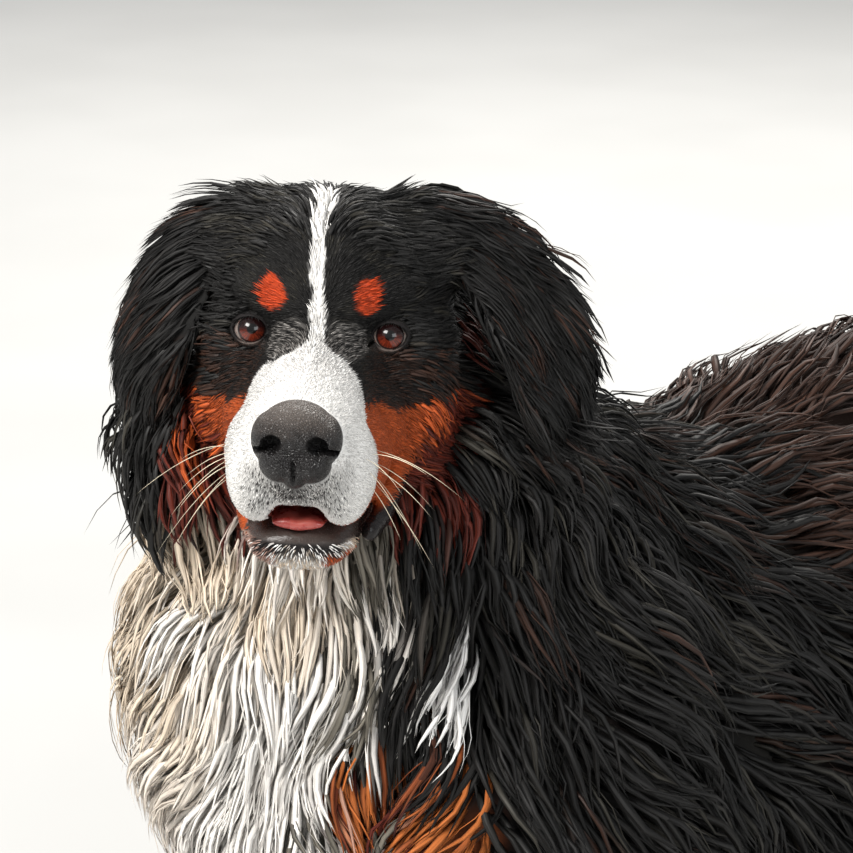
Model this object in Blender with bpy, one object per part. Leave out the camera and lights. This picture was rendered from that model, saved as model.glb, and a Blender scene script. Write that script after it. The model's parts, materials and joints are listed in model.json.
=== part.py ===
"""Bernese mountain dog, lying on its chest with the head raised and turned to its left.

A still, life-size model. The chest points along -Y, the dog's left is +X and the floor is z = 0.
The origin is on the floor under the middle of the trunk. Sizes are in metres unless a name says
otherwise. Each node is a core of lofts and balls fused together, with the locks of the long coat
joined to it. The core reaches under half way from the skin to the tips of the locks.
"""

import math
import random

import bmesh
import bpy
from mathutils import Euler, Matrix, Vector
from mathutils.bvhtree import BVHTree

# Driving sizes of a large male, 0.67 m at the withers when it stands
CM = 0.01
EYES_MIDDLE = Vector((0.050, -0.360, 0.570))
HEAD_YAW, HEAD_PITCH, HEAD_ROLL = math.radians(38), math.radians(-7), math.radians(1.8)
EYE_SPACING_CM = 8.56
EYE_RADIUS_CM = 1.12
EAR_CURL = 0.28
TRUNK_COAT, NECK_COAT, THIGH_COAT, FORELEG_COAT, TAIL_COAT = 0.036, 0.046, 0.030, 0.020, 0.044
CORE_SHARE = 0.42
LOCK_SINK = 0.012
LOCK_THICKNESS = 0.009
RUFF_REACH = 0.055
KEEP_STRENGTH = 0.012
GAP = 0.00035
LEFT, RIGHT = 1, -1

# The trunk from the breastbone to the buttocks: y, height of the back, height of the belly, half width
TRUNK_STATIONS = (
    (-0.325, 0.290, 0.170, 0.055),
    (-0.295, 0.330, 0.095, 0.112),
    (-0.235, 0.368, 0.035, 0.140),
    (-0.150, 0.398, -0.010, 0.150),
    (-0.060, 0.405, -0.014, 0.152),
    (0.030, 0.380, -0.016, 0.160),
    (0.095, 0.372, -0.016, 0.160),
    (0.190, 0.392, -0.014, 0.148),
    (0.285, 0.398, 0.002, 0.130),
    (0.355, 0.362, 0.030, 0.106),
    (0.395, 0.295, 0.100, 0.068),
)
# The neck from the chest up to the skull: centre, half width, half depth, share of the neck's coat
NECK_STATIONS = (
    ((0.000, -0.172, 0.318), 0.116, 0.136, 1.0),
    ((0.000, -0.205, 0.370), 0.110, 0.128, 1.0),
    ((-0.002, -0.232, 0.425), 0.098, 0.112, 1.0),
    ((-0.008, -0.250, 0.480), 0.088, 0.095, 0.9),
    ((-0.014, -0.262, 0.520), 0.078, 0.078, 0.7),
    ((-0.018, -0.266, 0.552), 0.066, 0.062, 0.5),
)
# The tail from its root round to the tip on the floor: centre, radius
TAIL_STATIONS = (
    ((0.000, 0.350, 0.290), 0.034),
    ((0.000, 0.415, 0.235), 0.031),
    ((0.008, 0.465, 0.140), 0.027),
    ((0.030, 0.515, 0.062), 0.023),
    ((0.090, 0.572, 0.034), 0.020),
    ((0.170, 0.605, 0.028), 0.017),
    ((0.245, 0.602, 0.024), 0.012),
)
# The toes of a paw, outward from its middle: across, ahead, size
TOES = ((-0.031, 0.034, 0.9), (-0.011, 0.050, 1.0), (0.011, 0.050, 1.0), (0.031, 0.034, 0.9))
# Triangles kept in each node once its locks are joined to it
TRUNK_FACES, NECK_FACES, TAIL_FACES, ARM_FACES, THIGH_FACES = 2550, 1450, 720, 500, 580
EAR_FACES, HEAD_FACES = 540, 2350


def clear_scene():
    for old in list(bpy.data.objects):
        bpy.data.objects.remove(old)


def head_point(x, y, z):
    """A point of the head's own frame, in centimetres: x to its left, y back, z up from the eyes."""
    return EYES_MIDDLE + head_turn() @ Vector((x, y, z)) * CM


def head_turn():
    return Euler((HEAD_PITCH, HEAD_ROLL, HEAD_YAW), "XYZ").to_matrix()


def new_object(name, bm):
    bmesh.ops.recalc_face_normals(bm, faces=bm.faces)
    mesh = bpy.data.meshes.new(name)
    bm.to_mesh(mesh)
    bm.free()
    made = bpy.data.objects.new(name, mesh)
    bpy.context.scene.collection.objects.link(made)
    return made


def ball(centre, radii, turn=None, detail=3):
    """An ellipsoid with these radii along its own axes, turned by a 3 x 3 matrix."""
    bm = bmesh.new()
    bmesh.ops.create_icosphere(bm, subdivisions=detail, radius=1.0)
    scale = Matrix.Diagonal(Vector((*radii, 1.0)))
    place = Matrix.Translation(centre) @ (turn.to_4x4() if turn else Matrix.Identity(4))
    bmesh.ops.transform(bm, matrix=place @ scale, verts=bm.verts)
    return new_object("form", bm)


def head_ball(centre_cm, radii_cm, grow_cm=0.0, tilt=(0, 0, 0), detail=3):
    turn = head_turn() @ Euler([math.radians(a) for a in tilt]).to_matrix()
    radii = [(radius + grow_cm) * CM for radius in radii_cm]
    return ball(head_point(*centre_cm), radii, turn, detail)


def loft(stations, side=Vector((1, 0, 0)), around=20, narrow_top=0.0, rounding=0.8, curl=0.0):
    """A closed tube through stations of (centre, half width, half height), with rounded ends.

    side is the direction of the width at the first station, and is carried along from there.
    curl bends the section so that its edges stand away from its upper face.
    """
    centres = [Vector(centre) for centre, _, _ in stations]
    tangents = []
    for i in range(len(centres)):
        ahead, behind = centres[min(i + 1, len(centres) - 1)], centres[max(i - 1, 0)]
        tangents.append((ahead - behind).normalized())
    body = [(c, w, h, t) for c, (_, w, h), t in zip(centres, stations, tangents)]
    ends = []
    for end, step in ((0, -1), (-1, 1)):
        centre, half_width, half_height, tangent = body[end]
        reach = tangent * step * rounding * min(half_width, half_height)
        cap = []
        for share in (0.5, 0.85):
            shrink = math.sqrt(1 - share * share)
            cap.append((centre + reach * share, half_width * shrink, half_height * shrink, tangent))
        ends.append((cap, centre + reach))
    (first_cap, first_pole), (last_cap, last_pole) = ends
    bm = bmesh.new()
    loops = []
    across = side
    for centre, half_width, half_height, tangent in first_cap[::-1] + body + last_cap:
        across = (across - tangent * across.dot(tangent)).normalized()
        up = across.cross(tangent)
        loop = []
        for k in range(around):
            angle = 2 * math.pi * k / around
            pinch = 1 - narrow_top * max(0.0, math.sin(angle))
            bend = curl * half_width * (0.5 - math.cos(angle) ** 2)
            rise = half_height * math.sin(angle) + bend
            loop.append(bm.verts.new(centre + across * half_width * pinch * math.cos(angle) + up * rise))
        loops.append(loop)
    for near, far in zip(loops, loops[1:]):
        for k in range(around):
            n = (k + 1) % around
            bm.faces.new((near[k], near[n], far[n], far[k]))
    for loop, pole in ((loops[0], first_pole), (loops[-1], last_pole)):
        tip = bm.verts.new(pole)
        for k in range(around):
            bm.faces.new((loop[k], loop[(k + 1) % around], tip))
    return new_object("form", bm)


def head_loft(stations_cm, grow_cm=0.0, **options):
    """A loft in the head's frame, along the head's own front-to-back axis."""
    stations = [
        (head_point(*centre), (width + grow_cm) * CM, (height + grow_cm) * CM)
        for centre, width, height in stations_cm
    ]
    return loft(stations, side=head_turn() @ Vector((1, 0, 0)), **options)


def applied(obj):
    """The object's mesh replaced by what its modifiers make of it."""
    graph = bpy.context.evaluated_depsgraph_get()
    mesh = bpy.data.meshes.new_from_object(obj.evaluated_get(graph))
    old = obj.data
    obj.modifiers.clear()
    obj.data = mesh
    bpy.data.meshes.remove(old)
    return obj


def triangle_count(obj):
    return sum(len(face.vertices) - 2 for face in obj.data.polygons)


def joined(name, pieces):
    """The pieces as one object, each still a closed shell of its own."""
    bm = bmesh.new()
    for piece in pieces:
        bm.from_mesh(piece.data)
        mesh = piece.data
        bpy.data.objects.remove(piece)
        bpy.data.meshes.remove(mesh)
    return new_object(name, bm)


def fused(name, pieces, voxel, smoothing, triangles, sculpt=None, keep=None):
    """The pieces melted into one smooth closed skin of about that many triangles.

    sculpt(point) gives the moved point, and keep(point) from 0 to 1 says where detail is kept.
    """
    body = joined(name, pieces)
    remesh = body.modifiers.new("melt", "REMESH")
    remesh.mode = "VOXEL"
    remesh.voxel_size = voxel
    smooth = body.modifiers.new("smooth", "SMOOTH")
    smooth.factor = 0.5
    smooth.iterations = smoothing
    applied(body)
    if sculpt:
        for vertex in body.data.vertices:
            vertex.co = sculpt(vertex.co)
    thin = body.modifiers.new("thin", "DECIMATE")
    thin.ratio = min(1.0, triangles / triangle_count(body))
    thin.use_collapse_triangulate = True
    if keep:
        detail = body.vertex_groups.new(name="detail")
        for vertex in body.data.vertices:
            detail.add([vertex.index], 1.0 - 0.9 * keep(vertex.co), "REPLACE")
        thin.vertex_group = "detail"
        thin.vertex_group_factor = KEEP_STRENGTH
    applied(body)
    body.vertex_groups.clear()
    return body


def copied(obj):
    copy = obj.copy()
    copy.data = obj.data.copy()
    bpy.context.scene.collection.objects.link(copy)
    return copy


def grown(obj, by):
    """The closed mesh swollen along its normals."""
    for vertex, normal in zip(obj.data.vertices, [v.normal.copy() for v in obj.data.vertices]):
        vertex.co += normal * by
    return obj


def boolean(obj, others, operation):
    """obj with the other closed meshes joined to it or cut from it. The others are used up."""
    tools = bpy.data.collections.new("tools")
    bpy.context.scene.collection.children.link(tools)
    for other in others:
        for holder in list(other.users_collection):
            holder.objects.unlink(other)
        tools.objects.link(other)
    cut = obj.modifiers.new("cut", "BOOLEAN")
    cut.operand_type = "COLLECTION"
    cut.collection = tools
    cut.operation = operation
    cut.solver = "MANIFOLD"
    applied(obj)
    for other in list(tools.objects):
        mesh = other.data
        bpy.data.objects.remove(other)
        bpy.data.meshes.remove(mesh)
    bpy.data.collections.remove(tools)
    return obj


def keep_largest(obj):
    """Only the closed surface with the most volume is kept."""
    bm = bmesh.new()
    bm.from_mesh(obj.data)
    unseen = set(bm.faces)
    shells = []
    while unseen:
        start = unseen.pop()
        shell, rim = [start], [start]
        while rim:
            for edge in rim.pop().edges:
                for face in edge.link_faces:
                    if face in unseen:
                        unseen.remove(face)
                        shell.append(face)
                        rim.append(face)
        shells.append(shell)

    def volume(shell):
        total = 0.0
        for face in shell:
            a = face.verts[0].co
            for b, c in zip(face.verts[1:], face.verts[2:]):
                total += a.dot(b.co.cross(c.co)) / 6
        return total

    shells.sort(key=volume)
    for shell in shells[:-1]:
        bmesh.ops.delete(bm, geom=shell, context="FACES")
    bm.to_mesh(obj.data)
    bm.free()
    return obj


def cut_at_floor(obj):
    """The underside made flat at z = 0."""
    depth, reach = 0.2, 3.0
    bm = bmesh.new()
    bmesh.ops.create_cube(bm, size=1.0)
    place = Matrix.Translation((0, 0, -depth / 2)) @ Matrix.Diagonal((reach, reach, depth, 1))
    bmesh.ops.transform(bm, matrix=place, verts=bm.verts)
    return boolean(obj, [new_object("floor_block", bm)], "DIFFERENCE")


def trunk_forms(grow):
    stations = []
    for y, top, bottom, half_width in TRUNK_STATIONS:
        centre = (0, y, (top + bottom) / 2)
        stations.append((centre, half_width + grow, (top - bottom) / 2 + grow))
    forms = [loft(stations, narrow_top=0.22, around=28)]
    for side in (LEFT, RIGHT):
        # Shoulder blade and upper arm lie against the ribs.
        forms.append(ball((side * 0.108, -0.175, 0.235), (0.052 + grow, 0.098 + grow, 0.140 + grow)))
        forms.append(ball((side * 0.095, -0.265, 0.215), (0.050 + grow, 0.060 + grow, 0.080 + grow)))
        # Haunch
        forms.append(ball((side * 0.092, 0.270, 0.235), (0.072 + grow, 0.120 + grow, 0.120 + grow)))
    return forms


def neck_forms(grow):
    stations = []
    for centre, width, depth, share in NECK_STATIONS:
        stations.append((centre, width + grow * share, depth + grow * share))
    return [loft(stations, around=24)]


def tail_forms(grow):
    last = len(TAIL_STATIONS) - 1
    stations = []
    for i, (centre, radius) in enumerate(TAIL_STATIONS):
        plume = grow * (0.6 + 0.4 * math.sin(math.pi * i / last))
        stations.append((centre, radius + plume, radius + plume * 0.8))
    return [loft(stations, around=16)]


def foreleg_forms(side, grow):
    """Upper arm, forearm laid along the floor, and paw with four toes."""
    arm = loft(
        (
            ((side * 0.138, -0.205, 0.150), 0.046 + grow, 0.056 + grow),
            ((side * 0.147, -0.178, 0.110), 0.048 + grow, 0.060 + grow),
            ((side * 0.152, -0.140, 0.066), 0.046 + grow, 0.056 + grow),
        ),
        around=16,
    )
    forearm = loft(
        (
            ((side * 0.152, -0.130, 0.058), 0.046 + grow, 0.056 + grow),
            ((side * 0.146, -0.210, 0.052), 0.042 + grow, 0.050 + grow),
            ((side * 0.136, -0.310, 0.042), 0.034 + grow, 0.038 + grow),
            ((side * 0.130, -0.385, 0.036), 0.033 + grow * 0.6, 0.034 + grow * 0.6),
            ((side * 0.128, -0.430, 0.034), 0.038 + grow * 0.3, 0.032 + grow * 0.3),
        ),
        around=16,
    )
    return [arm, forearm] + paw_forms(Vector((side * 0.127, -0.470, 0.0)), side, grow * 0.3)


def paw_forms(middle, side, grow):
    """A pad-flat paw whose toes point along -Y: the back of the paw and four toes."""
    forms = [ball(middle + Vector((0, 0, 0.028)), (0.043 + grow, 0.050 + grow, 0.031 + grow))]
    for across, ahead, size in TOES:
        toe = middle + Vector((across, -ahead, 0.018))
        forms.append(ball(toe, (0.0135 * size + grow, 0.026 * size + grow, 0.0205 * size + grow)))
    return forms


def hind_leg_forms(side, grow):
    """Thigh folded forward, shank folded back, hock on the floor and the foot under the thigh."""
    thigh = loft(
        (
            ((side * 0.122, 0.262, 0.215), 0.062 + grow, 0.084 + grow),
            ((side * 0.146, 0.210, 0.188), 0.066 + grow, 0.086 + grow),
            ((side * 0.180, 0.135, 0.130), 0.056 + grow, 0.066 + grow),
        ),
        around=16,
    )
    shank = loft(
        (
            ((side * 0.182, 0.125, 0.115), 0.052 + grow, 0.058 + grow),
            ((side * 0.180, 0.215, 0.092), 0.050 + grow, 0.054 + grow),
            ((side * 0.176, 0.300, 0.062), 0.036 + grow * 0.7, 0.038 + grow * 0.7),
            ((side * 0.174, 0.350, 0.042), 0.028 + grow * 0.4, 0.032 + grow * 0.4),
        ),
        around=16,
    )
    foot = loft(
        (
            ((side * 0.176, 0.345, 0.034), 0.026 + grow * 0.4, 0.030 + grow * 0.4),
            ((side * 0.186, 0.260, 0.028), 0.028 + grow * 0.4, 0.027 + grow * 0.4),
            ((side * 0.194, 0.185, 0.028), 0.032 + grow * 0.3, 0.028 + grow * 0.3),
        ),
        around=14,
    )
    return [thigh, shank, foot] + paw_forms(Vector((side * 0.198, 0.145, 0.0)), side, grow * 0.3)


def skull_forms(grow=1.0):
    """The head without its lower jaw, in centimetres. grow is the share of the short coat."""
    forms = [
        head_ball((0, 6.4, 2.0), (7.2, 7.6, 6.1), 0.8 * grow),
        head_ball((0, 3.9, 2.8), (4.9, 3.8, 4.4), 0.4 * grow),
        head_ball((0, 0.9, -0.4), (2.6, 3.2, 2.2), 0.3 * grow),
        head_loft(
            (
                ((0, 2.0, -3.0), 5.0, 4.6),
                ((0, -1.5, -3.8), 4.35, 4.2),
                ((0, -5.0, -4.3), 3.9, 3.75),
                ((0, -9.0, -4.6), 3.65, 3.35),
                ((0, -11.3, -4.8), 3.1, 2.9),
            ),
            0.3 * grow,
        ),
        head_ball((0, 7.5, -5.6), (5.6, 6.2, 5.2), 0.6 * grow),
    ]
    for side in (LEFT, RIGHT):
        forms += [
            # Root of the ear, brow, cheekbone, cheek, corner of the mouth, flews
            head_ball((side * 4.8, 6.6, 3.8), (2.9, 3.6, 3.4), 0.7 * grow),
            head_ball((side * 3.4, 2.2, 2.9), (2.6, 2.4, 1.7), 0.4 * grow),
            head_ball((side * 4.5, 5.2, -1.2), (3.3, 5.0, 4.0), 0.6 * grow),
            head_ball((side * 4.5, 5.0, -4.9), (3.4, 4.9, 4.4), 0.9 * grow),
            head_ball((side * 3.5, 0.4, -5.2), (2.2, 4.2, 3.2), 0.5 * grow),
            head_ball((side * 2.5, -8.6, -6.3), (2.0, 3.3, 3.1), 0.3 * grow),
            head_ball((side * 3.0, -4.6, -6.4), (2.0, 4.4, 3.0), 0.3 * grow),
        ]
    return forms


def face_sculpt(point):
    """The eye sockets, the stop between them and the furrow of the forehead pressed in."""
    turn = head_turn()
    local = turn.transposed() @ (point - EYES_MIDDLE) / CM
    moves = (
        ((EYE_SPACING_CM / 2, -0.4, 0.1), (1.5, 2.0, 1.1), (0, 1.0, 0)),
        ((-EYE_SPACING_CM / 2, -0.4, 0.1), (1.5, 2.0, 1.1), (0, 1.0, 0)),
        ((0, -0.4, 1.6), (1.2, 2.0, 1.2), (0, 0.3, -0.2)),
        ((0, 1.8, 6.5), (0.9, 3.0, 2.5), (0, 0.15, -0.3)),
    )
    shift = Vector((0, 0, 0))
    for centre, spread, move in moves:
        away = sum(((a - c) / w) ** 2 for a, c, w in zip(local, centre, spread))
        shift += Vector(move) * math.exp(-away / 2)
    return point + turn @ shift * CM


def face_detail(point):
    """1 on the face, falling to 0 at the back of the head, which lies in the neck."""
    local = head_turn().transposed() @ (point - EYES_MIDDLE) / CM
    return min(1.0, max(0.0, (9.0 - local.y) / 6.0))


def jaw_forms(grow=1.0):
    return [
        head_loft(
            (
                ((0, 7.0, -8.0), 4.6, 2.9),
                ((0, 2.5, -9.1), 4.2, 2.4),
                ((0, -3.0, -10.2), 3.5, 1.9),
                ((0, -6.8, -10.9), 3.1, 1.5),
                ((0, -8.9, -11.2), 2.5, 1.25),
            ),
            0.45 * grow,
        )
    ]


def tongue_forms():
    return [
        head_loft(
            (
                ((0, 3.0, -8.2), 2.3, 0.7),
                ((0, -3.0, -8.7), 2.2, 0.6),
                ((0, -7.0, -8.95), 1.9, 0.5),
                ((0, -9.0, -9.2), 1.4, 0.4),
            )
        )
    ]


def nose_forms():
    """The leather of the nose: its pad, and the two wings round the nostrils."""
    forms = [
        head_ball((0, -12.3, -3.7), (2.3, 1.9, 2.0)),
        head_ball((0, -12.0, -4.9), (1.6, 1.7, 1.5)),
        head_ball((0, -11.7, -5.7), (1.15, 1.6, 1.45)),
    ]
    for side in (LEFT, RIGHT):
        forms.append(head_ball((side * 1.45, -12.3, -3.9), (1.15, 1.6, 1.55)))
    return forms


def nostril_cutters():
    cutters = []
    for side in (LEFT, RIGHT):
        hole = head_ball((side * 1.2, -14.0, -4.05), (0.62, 1.0, 0.52), tilt=(0, side * 25, 0), detail=2)
        slit = head_ball((side * 2.05, -13.1, -4.5), (0.75, 1.0, 0.2), tilt=(0, side * 20, 0), detail=1)
        cutters += [hole, slit]
    return cutters


# The leaf of each ear from its root to its tip in the head's frame, in centimetres: centre, half width,
# half thickness. The left ear is blown outward, the right one hangs closer to the head.
EAR_LEAVES = {
    LEFT: (
        ((5.8, 6.8, 6.6), 2.3, 1.15),
        ((8.2, 7.3, 5.6), 3.0, 1.0),
        ((10.8, 7.5, 3.2), 3.7, 0.9),
        ((12.6, 7.3, 0.4), 4.0, 0.85),
        ((13.7, 6.8, -2.4), 3.4, 0.8),
        ((14.1, 6.2, -4.8), 2.0, 0.7),
    ),
    RIGHT: (
        ((-5.7, 6.8, 6.0), 2.3, 1.15),
        ((-7.8, 7.2, 5.0), 2.9, 1.0),
        ((-9.6, 7.1, 2.8), 3.2, 0.9),
        ((-10.7, 6.6, 0.2), 3.2, 0.85),
        ((-11.2, 6.0, -2.4), 2.7, 0.8),
        ((-11.4, 5.4, -4.8), 1.7, 0.7),
    ),
}
EAR_WIDTHS = {LEFT: Vector((0.82, 0.57, 0.0)), RIGHT: Vector((0.72, -0.69, 0.0))}


def ear_forms(side, grow=1.0):
    """A drop ear: a thick leaf whose inner face, turned to the neck, is hollow."""
    stations = []
    for centre, width, thickness in EAR_LEAVES[side]:
        stations.append((head_point(*centre), (width + 0.9 * grow) * CM, (thickness + 0.25 * grow) * CM))
    return [loft(stations, head_turn() @ EAR_WIDTHS[side], around=20, rounding=2.0, curl=side * EAR_CURL)]


def ear_cup(side):
    """The cup round the ear's opening, under the root of the leaf."""
    centres = [Vector(centre) for centre, _, _ in EAR_LEAVES[side]]
    inward = Vector((-side * 0.60, 0.76, -0.25)).normalized()
    middle = centres[1].lerp(centres[2], 0.5) + inward * 2.1
    return head_ball(middle, (1.6, 1.4, 2.4), tilt=(0, side * 40, 0))


def eye_centre(side):
    return Vector((side * EYE_SPACING_CM / 2, 1.35, 0.0))


def eyelid_forms(side):
    return [head_ball(eye_centre(side), (1.52, 1.5, 1.42))]


def eye_opening(side):
    """The almond between the lids, through which the eye is seen."""
    outward = Vector((side * 0.22, -1.0, -0.02)).normalized()
    centre = eye_centre(side) + outward * 1.35
    return head_ball(centre, (1.16, 1.0, 0.70), tilt=(0, side * 8, side * 12))


def mouth_cutter():
    """The hollow of the mouth behind the lips."""
    return head_loft(
        (
            ((0, 3.5, -8.3), 2.6, 1.5),
            ((0, -3.0, -8.5), 2.5, 1.4),
            ((0, -7.5, -8.7), 2.1, 1.2),
            ((0, -9.6, -8.9), 1.7, 1.0),
        ),
        around=12,
    )


def lip_notch():
    return head_ball((0, -11.2, -9.4), (1.5, 2.6, 1.7), detail=2)


def material(obj, name, colour, roughness):
    finish = bpy.data.materials.get(name) or bpy.data.materials.new(name)
    finish.use_nodes = True
    shader = finish.node_tree.nodes["Principled BSDF"]
    shader.inputs["Base Color"].default_value = (*colour, 1.0)
    shader.inputs["Roughness"].default_value = roughness
    obj.data.materials.clear()
    obj.data.materials.append(finish)


def surface_tree(obj):
    bm = bmesh.new()
    bm.from_mesh(obj.data)
    tree = BVHTree.FromBMesh(bm)
    bm.free()
    return tree


def lock_path(root, lie, length, rise, skin, steps=4):
    """Points and outward directions of a lock that climbs from under the skin and lies along it."""
    place = root.copy()
    path = []
    over = None
    for step in range(steps + 1):
        share = step / steps
        near, normal, _, _ = skin.find_nearest(place)
        over = normal if over is None else (over * 0.65 + normal * 0.35).normalized()
        along = lie(near, normal, share)
        along = (along - normal * along.dot(normal) * 0.85).normalized()
        climb = min(1.0, share / 0.5)
        height = -LOCK_SINK + (rise + LOCK_SINK) * climb * climb * (3 - 2 * climb)
        height -= rise * 0.45 * max(0.0, share - 0.5) / 0.5
        path.append((near + normal * height, over))
        place = near + normal * max(height, 0.0) + along * length / steps
    return path


def straight_path(root, direction, normal, length, sag=0.0, steps=3):
    """A lock's path that starts inside a leaf of skin and hangs free past its rim."""
    points = []
    for step in range(steps + 1):
        share = step / steps
        points.append((root + direction * length * share + Vector((0, 0, -sag * share * share)), normal))
    return points


def lock(path, width, thickness):
    """A flat, tapered lock of hair with a ridge along its back, as a closed mesh."""
    steps = len(path) - 1
    bm = bmesh.new()
    rings = []
    for i, (point, normal) in enumerate(path[:-1]):
        share = i / steps
        ahead = (path[i + 1][0] - path[max(i - 1, 0)][0]).normalized()
        across = ahead.cross(normal).normalized()
        over = across.cross(ahead)
        half = width / 2 * (0.6 + 1.6 * share if share < 0.25 else 1.0 - 0.75 * (share - 0.25) ** 1.3)
        thick = thickness * (1.0 - 0.4 * share)
        corners = (
            point - across * half - over * thick * 0.5,
            point + over * thick * 0.6,
            point + across * half - over * thick * 0.5,
        )
        rings.append([bm.verts.new(corner) for corner in corners])
    tip = bm.verts.new(path[-1][0])
    bm.faces.new(rings[0])
    for near, far in zip(rings, rings[1:]):
        for k in range(3):
            n = (k + 1) % 3
            bm.faces.new((near[k], near[n], far[n]))
            bm.faces.new((near[k], far[n], far[k]))
    for k in range(3):
        bm.faces.new((rings[-1][k], rings[-1][(k + 1) % 3], tip))
    return new_object("lock", bm)


def tangled(obj):
    """Whether a closed mesh runs through itself anywhere."""
    bm = bmesh.new()
    bm.from_mesh(obj.data)
    bm.faces.ensure_lookup_table()
    tree = BVHTree.FromBMesh(bm)
    crossing = any(not set(bm.faces[a].verts) & set(bm.faces[b].verts) for a, b in tree.overlap(tree))
    bm.free()
    return crossing


def lock_roots(core, spacing, count, seed, allowed):
    """Places spread evenly over the core where allowed(point, normal) holds."""
    rng = random.Random(seed)
    faces = [face for face in core.data.polygons if allowed(face.center, face.normal)]
    areas = [face.area for face in faces]
    roots = []
    for face in rng.choices(faces, weights=areas, k=count * 60) if faces else []:
        corners = [core.data.vertices[i].co for i in face.vertices]
        a, b = sorted((rng.random(), rng.random()))
        point = corners[0] * a + corners[1] * (b - a) + corners[2] * (1 - b)
        if all((point - other).length > spacing for other in roots):
            roots.append(point)
        if len(roots) == count:
            break
    return roots


def with_locks(core, roots, lie, length, width, rise, skin, seed, triangles):
    """The core with a lock grown from each root, joined to it as one body."""
    rng = random.Random(seed)
    locks = []
    for root in roots:
        turn, wave, phase = rng.uniform(-0.15, 0.15), rng.uniform(0.15, 0.45), rng.uniform(0, 6.28)
        long, high = length * rng.uniform(0.85, 1.15), rise * rng.uniform(0.85, 1.0)
        wide = width * rng.uniform(0.88, 1.1)
        for calm in (1.0, 0.5, 0.0):

            def wavy(point, normal, share):
                flow = lie(point, normal)
                return flow + normal.cross(flow) * (turn + wave * math.sin(phase + 5.0 * share)) * calm

            made = lock(lock_path(root, wavy, long, high, skin), wide, LOCK_THICKNESS)
            if not tangled(made):
                locks.append(made)
                break
            bpy.data.objects.remove(made)
    joined_locks(core, locks, triangles)
    keep_largest(cut_at_floor(core))


def holds_none(corners, points, normal):
    """Whether no other corner of the face lies in this triangle."""
    for point in points:
        if all((b - a).cross(point - a).dot(normal) >= 0 for a, b in zip(corners, corners[1:] + corners[:1])):
            return False
    return True


def triangulated(obj):
    """Every face in triangles, with no diagonal that is an edge elsewhere, so the body stays closed."""
    mesh = obj.data
    places = [vertex.co.copy() for vertex in mesh.vertices]
    edges = {frozenset(edge.vertices) for edge in mesh.edges}
    triangles = []
    for face in mesh.polygons:
        ring, normal = list(face.vertices), face.normal
        while len(ring) > 3:
            ears = []
            for k, b in enumerate(ring):
                a, c = ring[k - 1], ring[(k + 1) % len(ring)]
                if frozenset((a, c)) in edges:
                    continue
                corners = [places[a], places[b], places[c]]
                turn = (corners[1] - corners[0]).cross(corners[2] - corners[1]).dot(normal)
                others = [places[i] for i in ring if i not in (a, b, c)]
                fits = turn > 0 and holds_none(corners, others, normal)
                across = (corners[2] - corners[0]).length_squared + 1e-12
                ears.append((fits, turn / across, k, a, b, c))
            if not ears:
                break
            _, _, k, a, b, c = max(ears)
            triangles.append((a, b, c))
            edges.add(frozenset((a, c)))
            ring.pop(k)
        triangles.append(tuple(ring))
    split = bpy.data.meshes.new(obj.name)
    split.from_pydata(places, [], triangles)
    obj.data = split
    bpy.data.meshes.remove(mesh)
    return obj


def thinned(obj, triangles):
    """The slivers along the crossings collapsed."""
    triangulated(obj)
    thin = obj.modifiers.new("thin", "DECIMATE")
    thin.ratio = min(1.0, triangles / triangle_count(obj))
    thin.use_collapse_triangulate = True
    applied(obj)


def joined_locks(core, locks, triangles):
    """The core and its locks as one closed body."""
    boolean(core, locks, "UNION")
    thinned(keep_largest(core), triangles)


def fringed_ear(ear, side, seed):
    """Locks that hang past the outer rim and the tip of the ear."""
    rng = random.Random(seed)
    leaf = [(head_point(*centre), width * CM) for centre, width, _ in EAR_LEAVES[side]]
    wide = head_turn() @ EAR_WIDTHS[side] * side
    outward = (wide + Vector((0, 0, -0.9))).normalized()
    locks = []
    for i, rim in ((2, 1.0), (3, 1.0), (4, 0.9), (5, 0.7), (4, -0.6), (5, -0.2)):
        centre, width = leaf[i]
        down = (leaf[i][0] - leaf[i - 1][0]).normalized()
        direction = (down * 1.1 + outward * (0.75 if rim > 0 else 0.05)).normalized()
        root = centre + wide * width * rim * 0.55
        normal = direction.cross(wide).normalized()
        path = straight_path(root, direction, normal, rng.uniform(0.058, 0.072), 0.008)
        locks.append(lock(path, 0.030, 0.006))
    joined_locks(ear, locks, EAR_FACES)


def trunk_lie(point, normal):
    """Back along the spine, back and down on the flanks, straight down on the chest."""
    side = 1.0 - max(0.0, normal.z) ** 2
    chest = min(1.0, max(0.0, (-0.20 - point.y) / 0.10))
    back = Vector((0, 1.0 - 0.45 * side, -0.75 * side))
    return back.lerp(Vector((0, 0.05, -1.0)), chest).normalized()


def neck_lie(point, normal):
    """Down the throat in front and down the crest behind, fanning outward at the sides."""
    behind = min(1.0, max(0.0, 0.5 + normal.y * 0.8))
    return Vector((normal.x * 0.2, -0.1 + 0.75 * behind, -1.0 + 0.25 * behind)).normalized()


def tail_lie(point, normal):
    """Along the tail to its tip, hanging a little."""
    centres = [Vector(centre) for centre, _ in TAIL_STATIONS]
    nearest = min(range(len(centres)), key=lambda i: (centres[i] - point).length)
    ahead, behind = centres[min(nearest + 1, len(centres) - 1)], centres[max(nearest - 1, 0)]
    return ((ahead - behind).normalized() + Vector((0, 0, -0.25))).normalized()


def leg_lie(point, normal):
    return Vector((0, 0.75, -0.65)).normalized()


COATS = {
    "coat_black": ((0.012, 0.011, 0.011), 0.55),
    "coat_rust": ((0.28, 0.075, 0.02), 0.6),
    "skin_dark": ((0.035, 0.03, 0.03), 0.35),
    "eye_brown": ((0.06, 0.02, 0.008), 0.08),
    "tongue_red": ((0.35, 0.09, 0.075), 0.35),
}


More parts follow.
